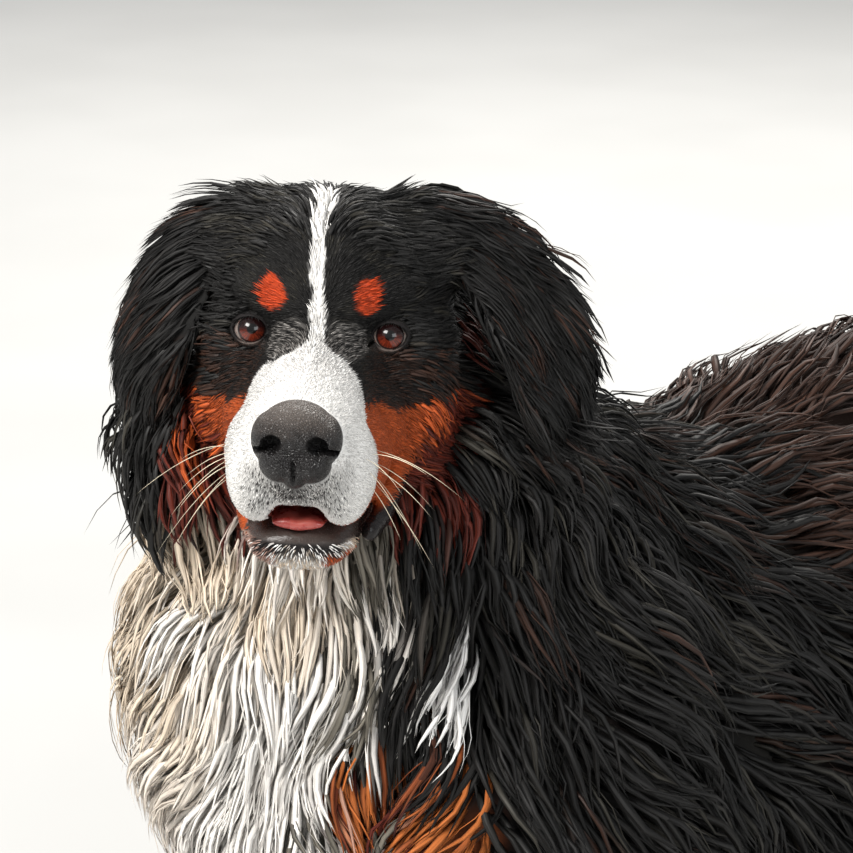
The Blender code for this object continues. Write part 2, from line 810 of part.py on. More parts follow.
def small_nodes():
    """Nose, eyes and tongue, the bare parts of the head."""
    nose = fused("nose", nose_forms(), 0.0012, 10, 220)
    nodes = {"nose": boolean(nose, nostril_cutters(), "DIFFERENCE")}
    radius = EYE_RADIUS_CM * CM
    for side, name in ((LEFT, "eye_left"), (RIGHT, "eye_right")):
        place = head_point(*eye_centre(side))
        nodes[name] = ball(place, (radius, radius, radius), head_turn(), detail=2)
    nodes["tongue"] = fused("tongue", tongue_forms(), 0.002, 6, 140)
    return nodes


def core_nodes():
    """The cores of the coated nodes, whole and still running through one another."""
    share = CORE_SHARE
    cores = {
        "head": fused("head", skull_forms(), 0.0028, 22, 1700, face_sculpt, face_detail),
        "lower_jaw": fused("lower_jaw", jaw_forms(), 0.003, 8, 220),
        "neck": fused("neck", neck_forms(NECK_COAT * share), 0.009, 10, 380),
        "torso": fused("torso", trunk_forms(TRUNK_COAT * share), 0.009, 30, 560),
        "tail": fused("tail", tail_forms(TAIL_COAT * share), 0.006, 6, 220),
    }
    for side, name in ((LEFT, "left"), (RIGHT, "right")):
        cores[f"ear_{name}"] = fused(f"ear_{name}", ear_forms(side, 0.6), 0.0025, 6, 300)
        leg = foreleg_forms(side, FORELEG_COAT * share)
        cores[f"foreleg_{name}"] = fused(f"foreleg_{name}", leg, 0.004, 8, 380)
        leg = hind_leg_forms(side, THIGH_COAT * share)
        cores[f"hind_leg_{name}"] = fused(f"hind_leg_{name}", leg, 0.004, 8, 380)
    return cores


def whole_skin(cores):
    """One skin round all the cores, which the locks lie on."""
    copies = []
    for core in cores.values():
        copies.append(copied(core))
    skin = fused("skin", copies, 0.007, 2, 12000)
    tree = surface_tree(skin)
    bpy.data.objects.remove(skin)
    return tree


def exposed(skin, reach=0.012, lowest=0.03):
    """Whether a point of a core is on the outside of the whole animal, and not at the floor."""

    def test(point, normal):
        near, _, _, _ = skin.find_nearest(point)
        return (near - point).length < reach and point.z > lowest

    return test


def grow_coat(cores, skin):
    """Locks on the cores: how far apart, how many, how long and wide, and how high they stand."""
    outside = exposed(skin)
    share = 1 - CORE_SHARE
    neck_surface = surface_tree(cores["neck"])

    def trunk(point, normal):
        """Clear of the ruff, whose locks cover the trunk there."""
        _, _, _, away = neck_surface.find_nearest(point)
        return outside(point, normal) and away > RUFF_REACH

    def feathers(point, normal):
        return outside(point, normal) and normal.y > -0.1 and point.y < 0.05 and abs(point.x) > 0.13

    def breeches(point, normal):
        return outside(point, normal) and abs(point.x) > 0.14 and point.z > 0.05

    plans = (
        ("torso", trunk, trunk_lie, 0.100, 70, 0.190, 0.090, TRUNK_COAT * share, TRUNK_FACES),
        ("neck", outside, neck_lie, 0.078, 40, 0.155, 0.070, NECK_COAT * share, NECK_FACES),
        ("tail", outside, tail_lie, 0.060, 13, 0.120, 0.046, TAIL_COAT * share, TAIL_FACES),
    )
    for name in ("left", "right"):
        plans += (
            (f"foreleg_{name}", feathers, leg_lie, 0.050, 5, 0.075, 0.045, FORELEG_COAT * share, ARM_FACES),
            (f"hind_leg_{name}", breeches, leg_lie, 0.066, 8, 0.110, 0.064, THIGH_COAT * share, THIGH_FACES),
        )
    for seed, (name, allowed, lie, spacing, count, length, width, rise, triangles) in enumerate(plans):
        roots = lock_roots(cores[name], spacing, count, seed + 1, allowed)
        with_locks(cores[name], roots, lie, length, width, rise, skin, seed + 50, triangles)
    fringed_ear(cores["ear_left"], LEFT, 80)
    fringed_ear(cores["ear_right"], RIGHT, 81)


def open_face(head):
    """Lids round the eyes, the mouth and the notch of the upper lip."""
    boolean(head, eyelid_forms(LEFT) + eyelid_forms(RIGHT), "UNION")
    for cutter in (eye_opening(LEFT), eye_opening(RIGHT), mouth_cutter(), lip_notch()):
        boolean(head, [cutter], "DIFFERENCE")
    thinned(keep_largest(head), HEAD_FACES)


def cut_back(name, nodes, over):
    """The node with the swollen shapes of those over it cut away, as one body."""
    for other in over:
        boolean(nodes[name], [grown(copied(nodes[other]), GAP), copied(nodes[other])], "DIFFERENCE")
    keep_largest(nodes[name])


def build_nodes():
    """Every node, each cut back from those that lie over it."""
    nodes = small_nodes()
    cores = core_nodes()
    skin = whole_skin(cores)
    grow_coat(cores, skin)
    nodes.update(cores)
    open_face(nodes["head"])
    for side, name in ((LEFT, "ear_left"), (RIGHT, "ear_right")):
        boolean(nodes[name], [ear_cup(side)], "DIFFERENCE")
    boolean(nodes["lower_jaw"], [mouth_cutter()], "DIFFERENCE")
    ears = ("ear_left", "ear_right")
    legs = ("foreleg_left", "foreleg_right", "hind_leg_left", "hind_leg_right")
    cut_back("head", nodes, ("nose", "eye_left", "eye_right") + ears)
    cut_back("lower_jaw", nodes, ("head",) + ears)
    cut_back("tongue", nodes, ("lower_jaw", "head"))
    cut_back("neck", nodes, ("head", "lower_jaw", "tongue") + ears)
    for leg in legs:
        cut_back(leg, nodes, ("neck",))
    cut_back("torso", nodes, ("neck", "lower_jaw") + ears + legs)
    cut_back("tail", nodes, ("torso", "hind_leg_left", "hind_leg_right"))
    return nodes


def main():
    clear_scene()
    nodes = build_nodes()
    coats = {"nose": "skin_dark", "eye_left": "eye_brown", "eye_right": "eye_brown", "tongue": "tongue_red"}
    for name, node in nodes.items():
        node.name = name
        slot = coats.get(name, "coat_black")
        material(node, f"{slot}_{name}", *COATS[slot])


main()
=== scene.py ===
"""A bernese mountain dog lying on its chest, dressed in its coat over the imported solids."""

import json
import math

import bmesh
import bpy
import numpy as np
from mathutils import Euler, Matrix, Vector
from mathutils.bvhtree import BVHTree

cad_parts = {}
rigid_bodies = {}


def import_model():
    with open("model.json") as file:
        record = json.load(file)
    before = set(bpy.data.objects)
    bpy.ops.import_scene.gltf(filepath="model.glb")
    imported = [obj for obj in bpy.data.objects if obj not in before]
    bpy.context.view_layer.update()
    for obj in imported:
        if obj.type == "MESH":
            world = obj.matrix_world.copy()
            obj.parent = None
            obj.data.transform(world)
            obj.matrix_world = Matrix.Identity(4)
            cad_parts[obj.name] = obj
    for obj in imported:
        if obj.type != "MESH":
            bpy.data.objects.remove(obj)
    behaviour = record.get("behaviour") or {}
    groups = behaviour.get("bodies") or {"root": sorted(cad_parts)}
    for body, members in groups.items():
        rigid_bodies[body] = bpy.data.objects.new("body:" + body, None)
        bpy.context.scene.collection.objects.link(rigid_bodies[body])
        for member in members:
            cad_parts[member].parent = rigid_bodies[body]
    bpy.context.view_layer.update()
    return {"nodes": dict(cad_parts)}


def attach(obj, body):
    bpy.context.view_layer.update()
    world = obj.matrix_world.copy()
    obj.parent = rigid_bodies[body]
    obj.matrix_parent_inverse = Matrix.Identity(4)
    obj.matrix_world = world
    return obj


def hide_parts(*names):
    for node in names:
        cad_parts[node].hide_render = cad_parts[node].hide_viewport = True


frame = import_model()
bpy.ops.object.select_all(action="DESELECT")

# Camera, floor and light
# A long lens looks a little down on the dog from its left front, and the head fills the left of
# the frame. The floor is a plain pale sweep, and three large soft boxes and a pale room light it.
CM = 0.01
EYES = Vector((0.050, -0.360, 0.570))
VIEW_TURN, VIEW_RISE = math.radians(42), math.radians(18)
VIEW_DISTANCE = 2.3
FRAME_SIDE = 853
EYES_IN_FRAME = (318.8, 335.8)
FRAME_SCALE = 1630.0
SENSOR = 36.0

toward = Vector((
    math.sin(VIEW_TURN) * math.cos(VIEW_RISE),
    -math.cos(VIEW_TURN) * math.cos(VIEW_RISE),
    math.sin(VIEW_RISE),
))
rightward = Vector((math.cos(VIEW_TURN), math.sin(VIEW_TURN), 0))
upward = toward.cross(rightward)
shift = [(FRAME_SIDE / 2 - place) / FRAME_SCALE for place in EYES_IN_FRAME]
target = EYES + rightward * shift[0] - upward * shift[1]
bpy.ops.object.camera_add(location=target + toward * VIEW_DISTANCE)
camera = bpy.context.object
camera.rotation_mode = "QUATERNION"
camera.rotation_quaternion = (-toward).to_track_quat("-Z", "Y")
camera.data.sensor_width = SENSOR
camera.data.lens = FRAME_SCALE * VIEW_DISTANCE / FRAME_SIDE * SENSOR
camera.data.clip_start = 0.05
camera.data.dof.use_dof = False
bpy.context.scene.camera = camera


def soft_box(name, place, size, power, colour):
    bpy.ops.object.light_add(type="AREA", location=place)
    lamp = bpy.context.object
    lamp.name = name
    lamp.data.shape = "RECTANGLE"
    lamp.data.size, lamp.data.size_y = size
    lamp.data.energy = power
    lamp.data.color = colour
    lamp.rotation_mode = "QUATERNION"
    lamp.rotation_quaternion = (Vector((0, -0.05, 0.35)) - Vector(place)).to_track_quat("-Z", "Y")


soft_box("key_light", (-0.2, -2.6, 2.7), (1.5, 1.2), 150, (1.0, 0.98, 0.95))
soft_box("fill_light", (3.0, -0.8, 1.4), (1.8, 1.4), 34, (0.95, 0.98, 1.0))
soft_box("rim_light", (-1.6, 2.2, 2.4), (2.2, 1.4), 90, (1.0, 0.97, 0.92))
room = bpy.data.worlds.new("room")
bpy.context.scene.world = room
room.use_nodes = True
room.node_tree.nodes["Background"].inputs["Color"].default_value = (0.90, 0.91, 0.92, 1)
room.node_tree.nodes["Background"].inputs["Strength"].default_value = 0.55
bpy.context.scene.view_settings.view_transform = "Standard"


class Shade:
    """A shader socket on which Python's own operators add the nodes."""

    def __init__(self, tree, socket=None):
        self.tree = tree
        self.socket = socket

    def node(self, kind, settings=None, sockets=None, output=0):
        made = self.tree.nodes.new(kind)
        for name, value in (settings or {}).items():
            if name == "stops":
                ramp = made.color_ramp.elements
                ends = [ramp[0], ramp[1]]
                for element, (place, colour) in zip(ends, (value[0], value[-1])):
                    element.position, element.color = place, (*colour, 1)
                for place, colour in value[1:-1]:
                    ramp.new(place).color = (*colour, 1)
            else:
                setattr(made, name, value)
        for name, value in (sockets or {}).items():
            if isinstance(value, Shade):
                self.tree.links.new(value.socket, made.inputs[name])
            else:
                made.inputs[name].default_value = value
        return Shade(self.tree, made.outputs[output])

    def maths(self, operation, first, second=0.0):
        return self.node("ShaderNodeMath", {"operation": operation}, {0: first, 1: second})

    def __add__(self, other):
        return self.maths("ADD", self, other)

    def __radd__(self, other):
        return self.maths("ADD", other, self)

    def __sub__(self, other):
        return self.maths("SUBTRACT", self, other)

    def __rsub__(self, other):
        return self.maths("SUBTRACT", other, self)

    def __mul__(self, other):
        return self.maths("MULTIPLY", self, other)

    def __rmul__(self, other):
        return self.maths("MULTIPLY", other, self)

    def between(self, low, high):
        """0 below low, 1 above high, and a smooth step from one to the other."""
        sockets = {"Value": self, "From Min": low, "From Max": high}
        return self.node("ShaderNodeMapRange", {"interpolation_type": "SMOOTHSTEP"}, sockets)

    def mixed(self, first, second):
        """The first colour where this is 0 and the second where it is 1."""
        sockets = {"Factor": self, 6: first, 7: second}
        return self.node("ShaderNodeMix", {"data_type": "RGBA"}, sockets, 2)


def finish_of(name, colour, roughness, **fixed):
    """A new Principled material. fixed names the sockets that stay the same all over."""
    made = bpy.data.materials.new(name)
    made.use_nodes = True
    shader = made.node_tree.nodes["Principled BSDF"]
    shader.inputs["Base Color"].default_value = (*colour, 1)
    shader.inputs["Roughness"].default_value = roughness
    for socket, value in fixed.items():
        shader.inputs[socket.replace("_", " ")].default_value = value
    return made, Shade(made.node_tree), shader


def feed(graph, shader, **links):
    for socket, value in links.items():
        graph.tree.links.new(value.socket, shader.inputs[socket.replace("_", " ")])


def in_colour(colour):
    return (*colour, 1.0)


FLOOR_REACH = 60.0
bpy.ops.mesh.primitive_plane_add(size=FLOOR_REACH * 2, location=(0, 0, -0.0015))
floor = bpy.context.object
floor.name = "studio_floor"
bpy.ops.object.transform_apply(location=True, rotation=True, scale=True)
paper, graph, shader = finish_of("studio_paper", (0.80, 0.80, 0.78), 0.85)
place = graph.node("ShaderNodeTexCoord", output=3)
grain = graph.node("ShaderNodeTexNoise", None, {"Vector": place, "Scale": 3.0}).between(0.3, 0.7)
feed(graph, shader, Base_Color=grain.mixed(in_colour((0.57, 0.57, 0.56)), in_colour((0.60, 0.60, 0.59))))
floor.data.materials.append(paper)

# Body under the coat
# Trunk, neck, legs and tail as the muscles and bones give them, with the woolly undercoat. They
# are melted into one skin, which lies inside the solids.
LEFT, RIGHT = 1, -1
SKIN_VOXEL = 0.007
TRUNK_WOOL, NECK_WOOL, TAIL_WOOL = 0.009, 0.013, 0.008
NECK_WOOL_SHARES = (1.0, 1.0, 0.9, 0.7, 0.45, 0.3)
TRUNK = (
    (-0.325, 0.290, 0.170, 0.055),
    (-0.295, 0.330, 0.095, 0.112),
    (-0.235, 0.368, 0.035, 0.140),
    (-0.150, 0.398, 0.000, 0.150),
    (-0.060, 0.405, 0.000, 0.152),
    (0.030, 0.380, 0.000, 0.160),
    (0.095, 0.372, 0.000, 0.160),
    (0.190, 0.392, 0.000, 0.148),
    (0.285, 0.398, 0.006, 0.130),
    (0.355, 0.362, 0.034, 0.106),
    (0.395, 0.295, 0.104, 0.068),
)
NECK = (
    ((0.000, -0.172, 0.318), 0.116, 0.136),
    ((0.000, -0.205, 0.370), 0.110, 0.128),
    ((-0.002, -0.232, 0.425), 0.098, 0.112),
    ((-0.008, -0.250, 0.480), 0.088, 0.095),
    ((-0.014, -0.262, 0.520), 0.078, 0.078),
    ((-0.018, -0.266, 0.552), 0.066, 0.062),
)
TAIL = (
    ((0.000, 0.350, 0.290), 0.034),
    ((0.000, 0.415, 0.235), 0.031),
    ((0.008, 0.465, 0.140), 0.027),
    ((0.030, 0.515, 0.062), 0.023),
    ((0.090, 0.572, 0.034), 0.020),
    ((0.170, 0.605, 0.028), 0.017),
    ((0.245, 0.602, 0.024), 0.012),
)
TOES = ((-0.031, 0.034, 0.9), (-0.011, 0.050, 1.0), (0.011, 0.050, 1.0), (0.031, 0.034, 0.9))
PAWS = {
    "foreleg_left": Vector((0.127, -0.470, 0.0)),
    "foreleg_right": Vector((-0.127, -0.470, 0.0)),
    "hind_leg_left": Vector((0.198, 0.145, 0.0)),
    "hind_leg_right": Vector((-0.198, 0.145, 0.0)),
}


def ball(centre, radii, turn=None, detail=4):
    """An ellipsoid with these radii along its own axes, turned by a 3 x 3 matrix."""
    bpy.ops.mesh.primitive_ico_sphere_add(subdivisions=detail, radius=1.0)
    made = bpy.context.object
    place = Matrix.Translation(centre) @ (turn.to_4x4() if turn else Matrix.Identity(4))
    made.data.transform(place @ Matrix.Diagonal((*radii, 1.0)))
    return made


def loft(stations, side=Vector((1, 0, 0)), around=32, narrow_top=0.0, rounding=0.8, curl=0.0):
    """A closed tube through (centre, half width, half height), with rounded ends."""
    centres = [Vector(centre) for centre, _, _ in stations]
    last = len(centres) - 1
    tangents = [
        (centres[min(i + 1, last)] - centres[max(i - 1, 0)]).normalized() for i in range(last + 1)
    ]
    body = [(c, w, h, t) for c, (_, w, h), t in zip(centres, stations, tangents)]
    ends = []
    for end, step in ((0, -1), (-1, 1)):
        centre, half_width, half_height, tangent = body[end]
        reach = tangent * step * rounding * min(half_width, half_height)
        cap = []
        for share in (0.35, 0.65, 0.88):
            shrink = math.sqrt(1 - share * share)
            cap.append((centre + reach * share, half_width * shrink, half_height * shrink, tangent))
        ends.append((cap, centre + reach))
    (first_cap, first_pole), (last_cap, last_pole) = ends
    bm = bmesh.new()
    loops = []
    across = side
    for centre, half_width, half_height, tangent in first_cap[::-1] + body + last_cap:
        across = (across - tangent * across.dot(tangent)).normalized()
        over = across.cross(tangent)
        loop = []
        for k in range(around):
            angle = 2 * math.pi * k / around
            pinch = 1 - narrow_top * max(0.0, math.sin(angle))
            rise = half_height * math.sin(angle) + curl * half_width * (0.5 - math.cos(angle) ** 2)
            loop.append(bm.verts.new(centre + across * half_width * pinch * math.cos(angle) + over * rise))
        loops.append(loop)
    for near, far in zip(loops, loops[1:]):
        for k in range(around):
            n = (k + 1) % around
            bm.faces.new((near[k], near[n], far[n], far[k]))
    for loop, pole in ((loops[0], first_pole), (loops[-1], last_pole)):
        tip = bm.verts.new(pole)
        for k in range(around):
            bm.faces.new((loop[k], loop[(k + 1) % around], tip))
    return from_bmesh("form", bm)


def from_bmesh(name, bm):
    bmesh.ops.recalc_face_normals(bm, faces=bm.faces)
    mesh = bpy.data.meshes.new(name)
    bm.to_mesh(mesh)
    bm.free()
    made = bpy.data.objects.new(name, mesh)
    bpy.context.scene.collection.objects.link(made)
    return made


def only(piece):
    """The one object that the next operator acts on."""
    bpy.ops.object.select_all(action="DESELECT")
    piece.select_set(True)
    bpy.context.view_layer.objects.active = piece


def applied(piece):
    only(piece)
    for modifier in list(piece.modifiers):
        bpy.ops.object.modifier_apply(modifier=modifier.name)
    return piece


def joined(name, pieces):
    only(pieces[0])
    for piece in pieces:
        piece.select_set(True)
    if len(pieces) > 1:
        bpy.ops.object.join()
    made = bpy.context.object
    made.name = name
    return made


def melted(name, pieces, voxel, smoothing):
    """The pieces as one smooth closed skin."""
    body = joined(name, pieces)
    remesh = body.modifiers.new("melt", "REMESH")
    remesh.mode = "VOXEL"
    remesh.voxel_size = voxel
    smooth = body.modifiers.new("smooth", "SMOOTH")
    smooth.factor = 0.5
    smooth.iterations = smoothing
    return applied(body)


def boolean(piece, others, operation):
    """piece with the other closed meshes joined to it or cut from it. They are used up."""
    tools = bpy.data.collections.new("tools")
    bpy.context.scene.collection.children.link(tools)
    for other in others:
        for holder in list(other.users_collection):
            holder.objects.unlink(other)
        tools.objects.link(other)
    cut = piece.modifiers.new("cut", "BOOLEAN")
    cut.operand_type = "COLLECTION"
    cut.collection = tools
    cut.operation = operation
    cut.solver = "MANIFOLD"
    applied(piece)
    for other in list(tools.objects):
        bpy.data.objects.remove(other)
    bpy.data.collections.remove(tools)
    return piece


def tree_of(pieces):
    """A search tree of the pieces' surfaces."""
    bm = bmesh.new()
    for piece in pieces:
        bm.from_mesh(piece.data)
    tree = BVHTree.FromBMesh(bm)
    bm.free()
    return tree


def trunk_forms():
    stations = [
        ((0, y, (top + bottom) / 2), half + TRUNK_WOOL, (top - bottom) / 2 + TRUNK_WOOL)
        for y, top, bottom, half in TRUNK
    ]
    forms = [loft(stations, narrow_top=0.22), ball((-0.035, -0.272, 0.300), (0.122, 0.104, 0.150))]
    for side in (LEFT, RIGHT):
        forms.append(ball((side * 0.108, -0.175, 0.235), (0.052, 0.098, 0.140)))
        forms.append(ball((side * 0.095, -0.265, 0.215), (0.050, 0.060, 0.080)))
        forms.append(ball((side * 0.092, 0.270, 0.235), (0.072, 0.120, 0.120)))
    return forms


def paw_forms(middle):
    forms = [ball(middle + Vector((0, 0, 0.028)), (0.043, 0.050, 0.031))]
    for across, ahead, size in TOES:
        toe = middle + Vector((across, -ahead, 0.018))
        forms.append(ball(toe, (0.0135 * size, 0.026 * size, 0.0205 * size)))
    return forms


def foreleg_forms(side):
    arm = (
        ((side * 0.138, -0.205, 0.150), 0.046, 0.056),
        ((side * 0.147, -0.178, 0.110), 0.048, 0.060),
        ((side * 0.152, -0.140, 0.066), 0.046, 0.056),
    )
    forearm = (
        ((side * 0.152, -0.130, 0.058), 0.046, 0.056),
        ((side * 0.146, -0.210, 0.052), 0.042, 0.050),
        ((side * 0.136, -0.310, 0.042), 0.034, 0.038),
        ((side * 0.130, -0.385, 0.036), 0.033, 0.034),
        ((side * 0.128, -0.430, 0.034), 0.038, 0.032),
    )
    return [loft(arm), loft(forearm)]


def hind_leg_forms(side):
    thigh = (
        ((side * 0.122, 0.262, 0.215), 0.062, 0.084),
        ((side * 0.146, 0.210, 0.188), 0.066, 0.086),
        ((side * 0.180, 0.135, 0.130), 0.056, 0.066),
    )
    shank = (
        ((side * 0.182, 0.125, 0.115), 0.052, 0.058),
        ((side * 0.180, 0.215, 0.092), 0.050, 0.054),
        ((side * 0.176, 0.300, 0.062), 0.036, 0.038),
        ((side * 0.174, 0.350, 0.042), 0.028, 0.032),
    )
    foot = (
        ((side * 0.176, 0.345, 0.034), 0.026, 0.030),
        ((side * 0.186, 0.260, 0.028), 0.028, 0.027),
        ((side * 0.194, 0.185, 0.028), 0.032, 0.028),
    )
    return [loft(thigh), loft(shank), loft(foot)]


def neck_form():
    stations = []
    for (centre, width, depth), share in zip(NECK, NECK_WOOL_SHARES):
        stations.append((centre, width + NECK_WOOL * share, depth + NECK_WOOL * share))
    return loft(stations)


flesh = {
    "torso": trunk_forms(),
    "neck": [neck_form(), ball((-0.062, -0.350, 0.478), (0.040, 0.046, 0.058))],
    "tail": [loft([(centre, radius + TAIL_WOOL, radius + TAIL_WOOL) for centre, radius in TAIL])],
}
for side, name in ((LEFT, "left"), (RIGHT, "right")):
    flesh[f"foreleg_{name}"] = foreleg_forms(side) + paw_forms(PAWS[f"foreleg_{name}"])
    flesh[f"hind_leg_{name}"] = hind_leg_forms(side) + paw_forms(PAWS[f"hind_leg_{name}"])
near_part = {name: tree_of(forms) for name, forms in flesh.items()}
body_skin = melted("body_skin", [form for forms in flesh.values() for form in forms], SKIN_VOXEL, 6)

# Head under the coat
# Skull, muzzle with its hanging flews, cheeks, brows, lower jaw and the two drop ears. The lids
# stand round the eyes, and the mouth is a little open. All of it is bare of hair here.
HEAD_YAW, HEAD_PITCH, HEAD_ROLL = math.radians(38), math.radians(-7), math.radians(1.8)
HEAD_TURN = Euler((HEAD_PITCH, HEAD_ROLL, HEAD_YAW), "XYZ").to_matrix()
HEAD_VOXEL = 0.00215
NOSE_VOXEL = 0.0009
EYE_APART_CM, EYE_RADIUS_CM = 8.56, 1.12
EAR_CURL = 0.28
EAR_LEAVES = {
    LEFT: (
        ((5.8, 6.8, 6.6), 2.3, 0.85),
        ((8.2, 7.3, 5.6), 3.0, 0.60),
        ((10.8, 7.5, 3.2), 3.7, 0.42),
        ((12.6, 7.3, 0.4), 4.0, 0.36),
        ((13.7, 6.8, -2.4), 3.4, 0.34),
        ((14.1, 6.2, -4.8), 2.0, 0.32),
    ),
    RIGHT: (
        ((-5.7, 6.8, 6.0), 2.3, 0.85),
        ((-7.8, 7.0, 5.0), 3.2, 0.60),
        ((-9.4, 6.7, 2.8), 4.4, 0.42),
        ((-10.5, 6.2, 0.2), 5.0, 0.36),
        ((-11.2, 5.8, -2.4), 4.3, 0.34),
        ((-11.2, 5.4, -4.8), 2.4, 0.32),
    ),
}
EAR_WIDTHS = {LEFT: Vector((0.82, 0.57, 0.0)), RIGHT: Vector((0.72, -0.69, 0.0))}
LIP_FOLD = (
    (5.4, 2.4, -6.6, 0.8, 1.1),
    (5.3, 0.4, -7.9, 0.75, 1.1),
    (5.0, -1.8, -9.1, 0.7, 1.0),
    (4.6, -4.2, -10.1, 0.65, 0.9),
    (4.0, -6.6, -10.7, 0.6, 0.7),
)
MOUTH = (
    ((0, 3.5, -8.3), 2.6, 1.5),
    ((0, -3.0, -8.5), 2.5, 1.4),
    ((0, -7.5, -8.7), 2.1, 1.2),
    ((0, -9.6, -8.9), 1.7, 1.0),
)


def head_point(x, y, z):
    """A point of the head's own frame, in centimetres: x to its left, y back, z up from the eyes."""
    return EYES + HEAD_TURN @ Vector((x, y, z)) * CM


def head_ball(centre, radii, tilt=(0, 0, 0), detail=4):
    turn = HEAD_TURN @ Euler([math.radians(a) for a in tilt]).to_matrix()
    return ball(head_point(*centre), [radius * CM for radius in radii], turn, detail)


def head_loft(stations, **options):
    placed = [(head_point(*centre), width * CM, height * CM) for centre, width, height in stations]
    return loft(placed, side=HEAD_TURN @ Vector((1, 0, 0)), **options)


def skull_forms():
    muzzle = (
        ((0, 2.0, -3.0), 5.0, 4.6),
        ((0, -1.5, -3.8), 4.35, 4.2),
        ((0, -5.0, -4.3), 3.9, 3.75),
        ((0, -9.0, -4.6), 3.65, 3.35),
        ((0, -11.3, -4.8), 3.1, 2.9),
    )
    forms = [
        head_ball((0, 6.4, 2.0), (7.2, 7.6, 6.1)),
        head_ball((0, 3.9, 2.8), (4.9, 3.8, 4.4)),
        head_ball((0, 0.9, -0.4), (2.6, 3.2, 2.2)),
        head_loft(muzzle),
        head_ball((0, 7.5, -5.6), (5.6, 6.2, 5.2)),
        head_ball((0, -9.9, -7.0), (2.0, 1.8, 1.65)),
    ]
    for side in (LEFT, RIGHT):
        forms += [
            head_ball((side * 4.8, 6.6, 3.8), (2.9, 3.6, 3.4)),
            head_ball((side * 3.4, 2.2, 2.9), (2.6, 2.4, 1.7)),
            head_ball((side * 4.5, 5.2, -1.2), (3.3, 5.0, 4.0)),
            head_ball((side * 4.5, 5.0, -4.9), (3.4, 4.9, 4.4)),
            head_ball((side * 3.5, 0.4, -5.2), (2.2, 4.2, 3.2)),
            head_ball((side * 2.5, -8.6, -6.5), (2.0, 3.3, 3.35)),
            head_ball((side * 3.0, -4.6, -6.4), (2.0, 4.4, 3.0)),
            head_loft([((x * (0.9 * side + 0.1), y, z), wide, deep) for x, y, z, wide, deep in LIP_FOLD], around=20),
        ]
    return forms


def jaw_forms():
    return [
        head_loft((
            ((0, 7.0, -8.0), 4.6, 2.9),
            ((0, 2.5, -9.1), 4.3, 2.5),
            ((0, -3.0, -10.3), 3.8, 2.0),
            ((0, -6.8, -11.0), 3.4, 1.6),
            ((0, -8.9, -11.3), 2.8, 1.35),
        ))
    ]


def ear_form(side):
    stations = [
        (head_point(*centre), (width + 0.2) * CM, thick * CM) for centre, width, thick in EAR_LEAVES[side]
    ]
    return loft(stations, HEAD_TURN @ EAR_WIDTHS[side], around=40, rounding=2.0, curl=side * EAR_CURL)


def nose_forms():
    """The leather of the nose: its pad, and the two wings round the nostrils."""
    forms = [
        head_ball((0, -12.3, -3.7), (2.35, 1.9, 2.0)),
        head_ball((0, -12.1, -4.9), (1.65, 1.75, 1.5)),
        head_ball((0, -12.5, -5.6), (0.95, 1.45, 1.35)),
    ]
    for side in (LEFT, RIGHT):
        forms.append(head_ball((side * 1.5, -12.3, -4.0), (1.2, 1.65, 1.6)))
        forms.append(head_ball((side * 0.95, -12.55, -5.35), (1.20, 1.6, 1.20)))
    return forms


def copied(piece):
    twin = piece.copy()
    twin.data = piece.data.copy()
    bpy.context.scene.collection.objects.link(twin)
    return twin


def head_frame(points):
    """World points in the head's own frame, in centimetres."""
    return (points - np.array(EYES)) @ np.array(HEAD_TURN) / CM


def sculpted(piece, moves):
    """Each move, in the head's frame, is (centre, spread, shift): a soft pull round a place."""
    mesh = piece.data
    places = np.empty(len(mesh.vertices) * 3)
    mesh.vertices.foreach_get("co", places)
    places = places.reshape(-1, 3)
    local = head_frame(places)
    shift = np.zeros_like(local)
    for centre, spread, move in moves:
        away = (((local - np.array(centre)) / np.array(spread)) ** 2).sum(axis=1)
        shift += np.exp(-away / 2)[:, None] * np.array(move)
    places += shift @ np.array(HEAD_TURN).T * CM
    mesh.vertices.foreach_set("co", places.ravel())
    mesh.update()


def eye_centre(side):
    return Vector((side * EYE_APART_CM / 2, 1.35, 0.0))


def eye_opening(side):
    """The almond between the lids, with the tear corner towards the nose."""
    middle = eye_centre(side) + Vector((side * 0.10, -1.35, 0.10))
    lower = head_ball(middle + Vector((0, 0, 0.34)), (1.34, 1.45, 1.24), detail=5)
    upper = head_ball(middle - Vector((0, 0, 0.34)), (1.34, 1.45, 1.24), detail=5)
    almond = boolean(lower, [upper], "INTERSECT")
    corner = head_ball(middle + Vector((side * -1.16, 0.25, -0.46)), (0.42, 0.8, 0.15), (0, side * -32, 0))
    return [almond, corner]


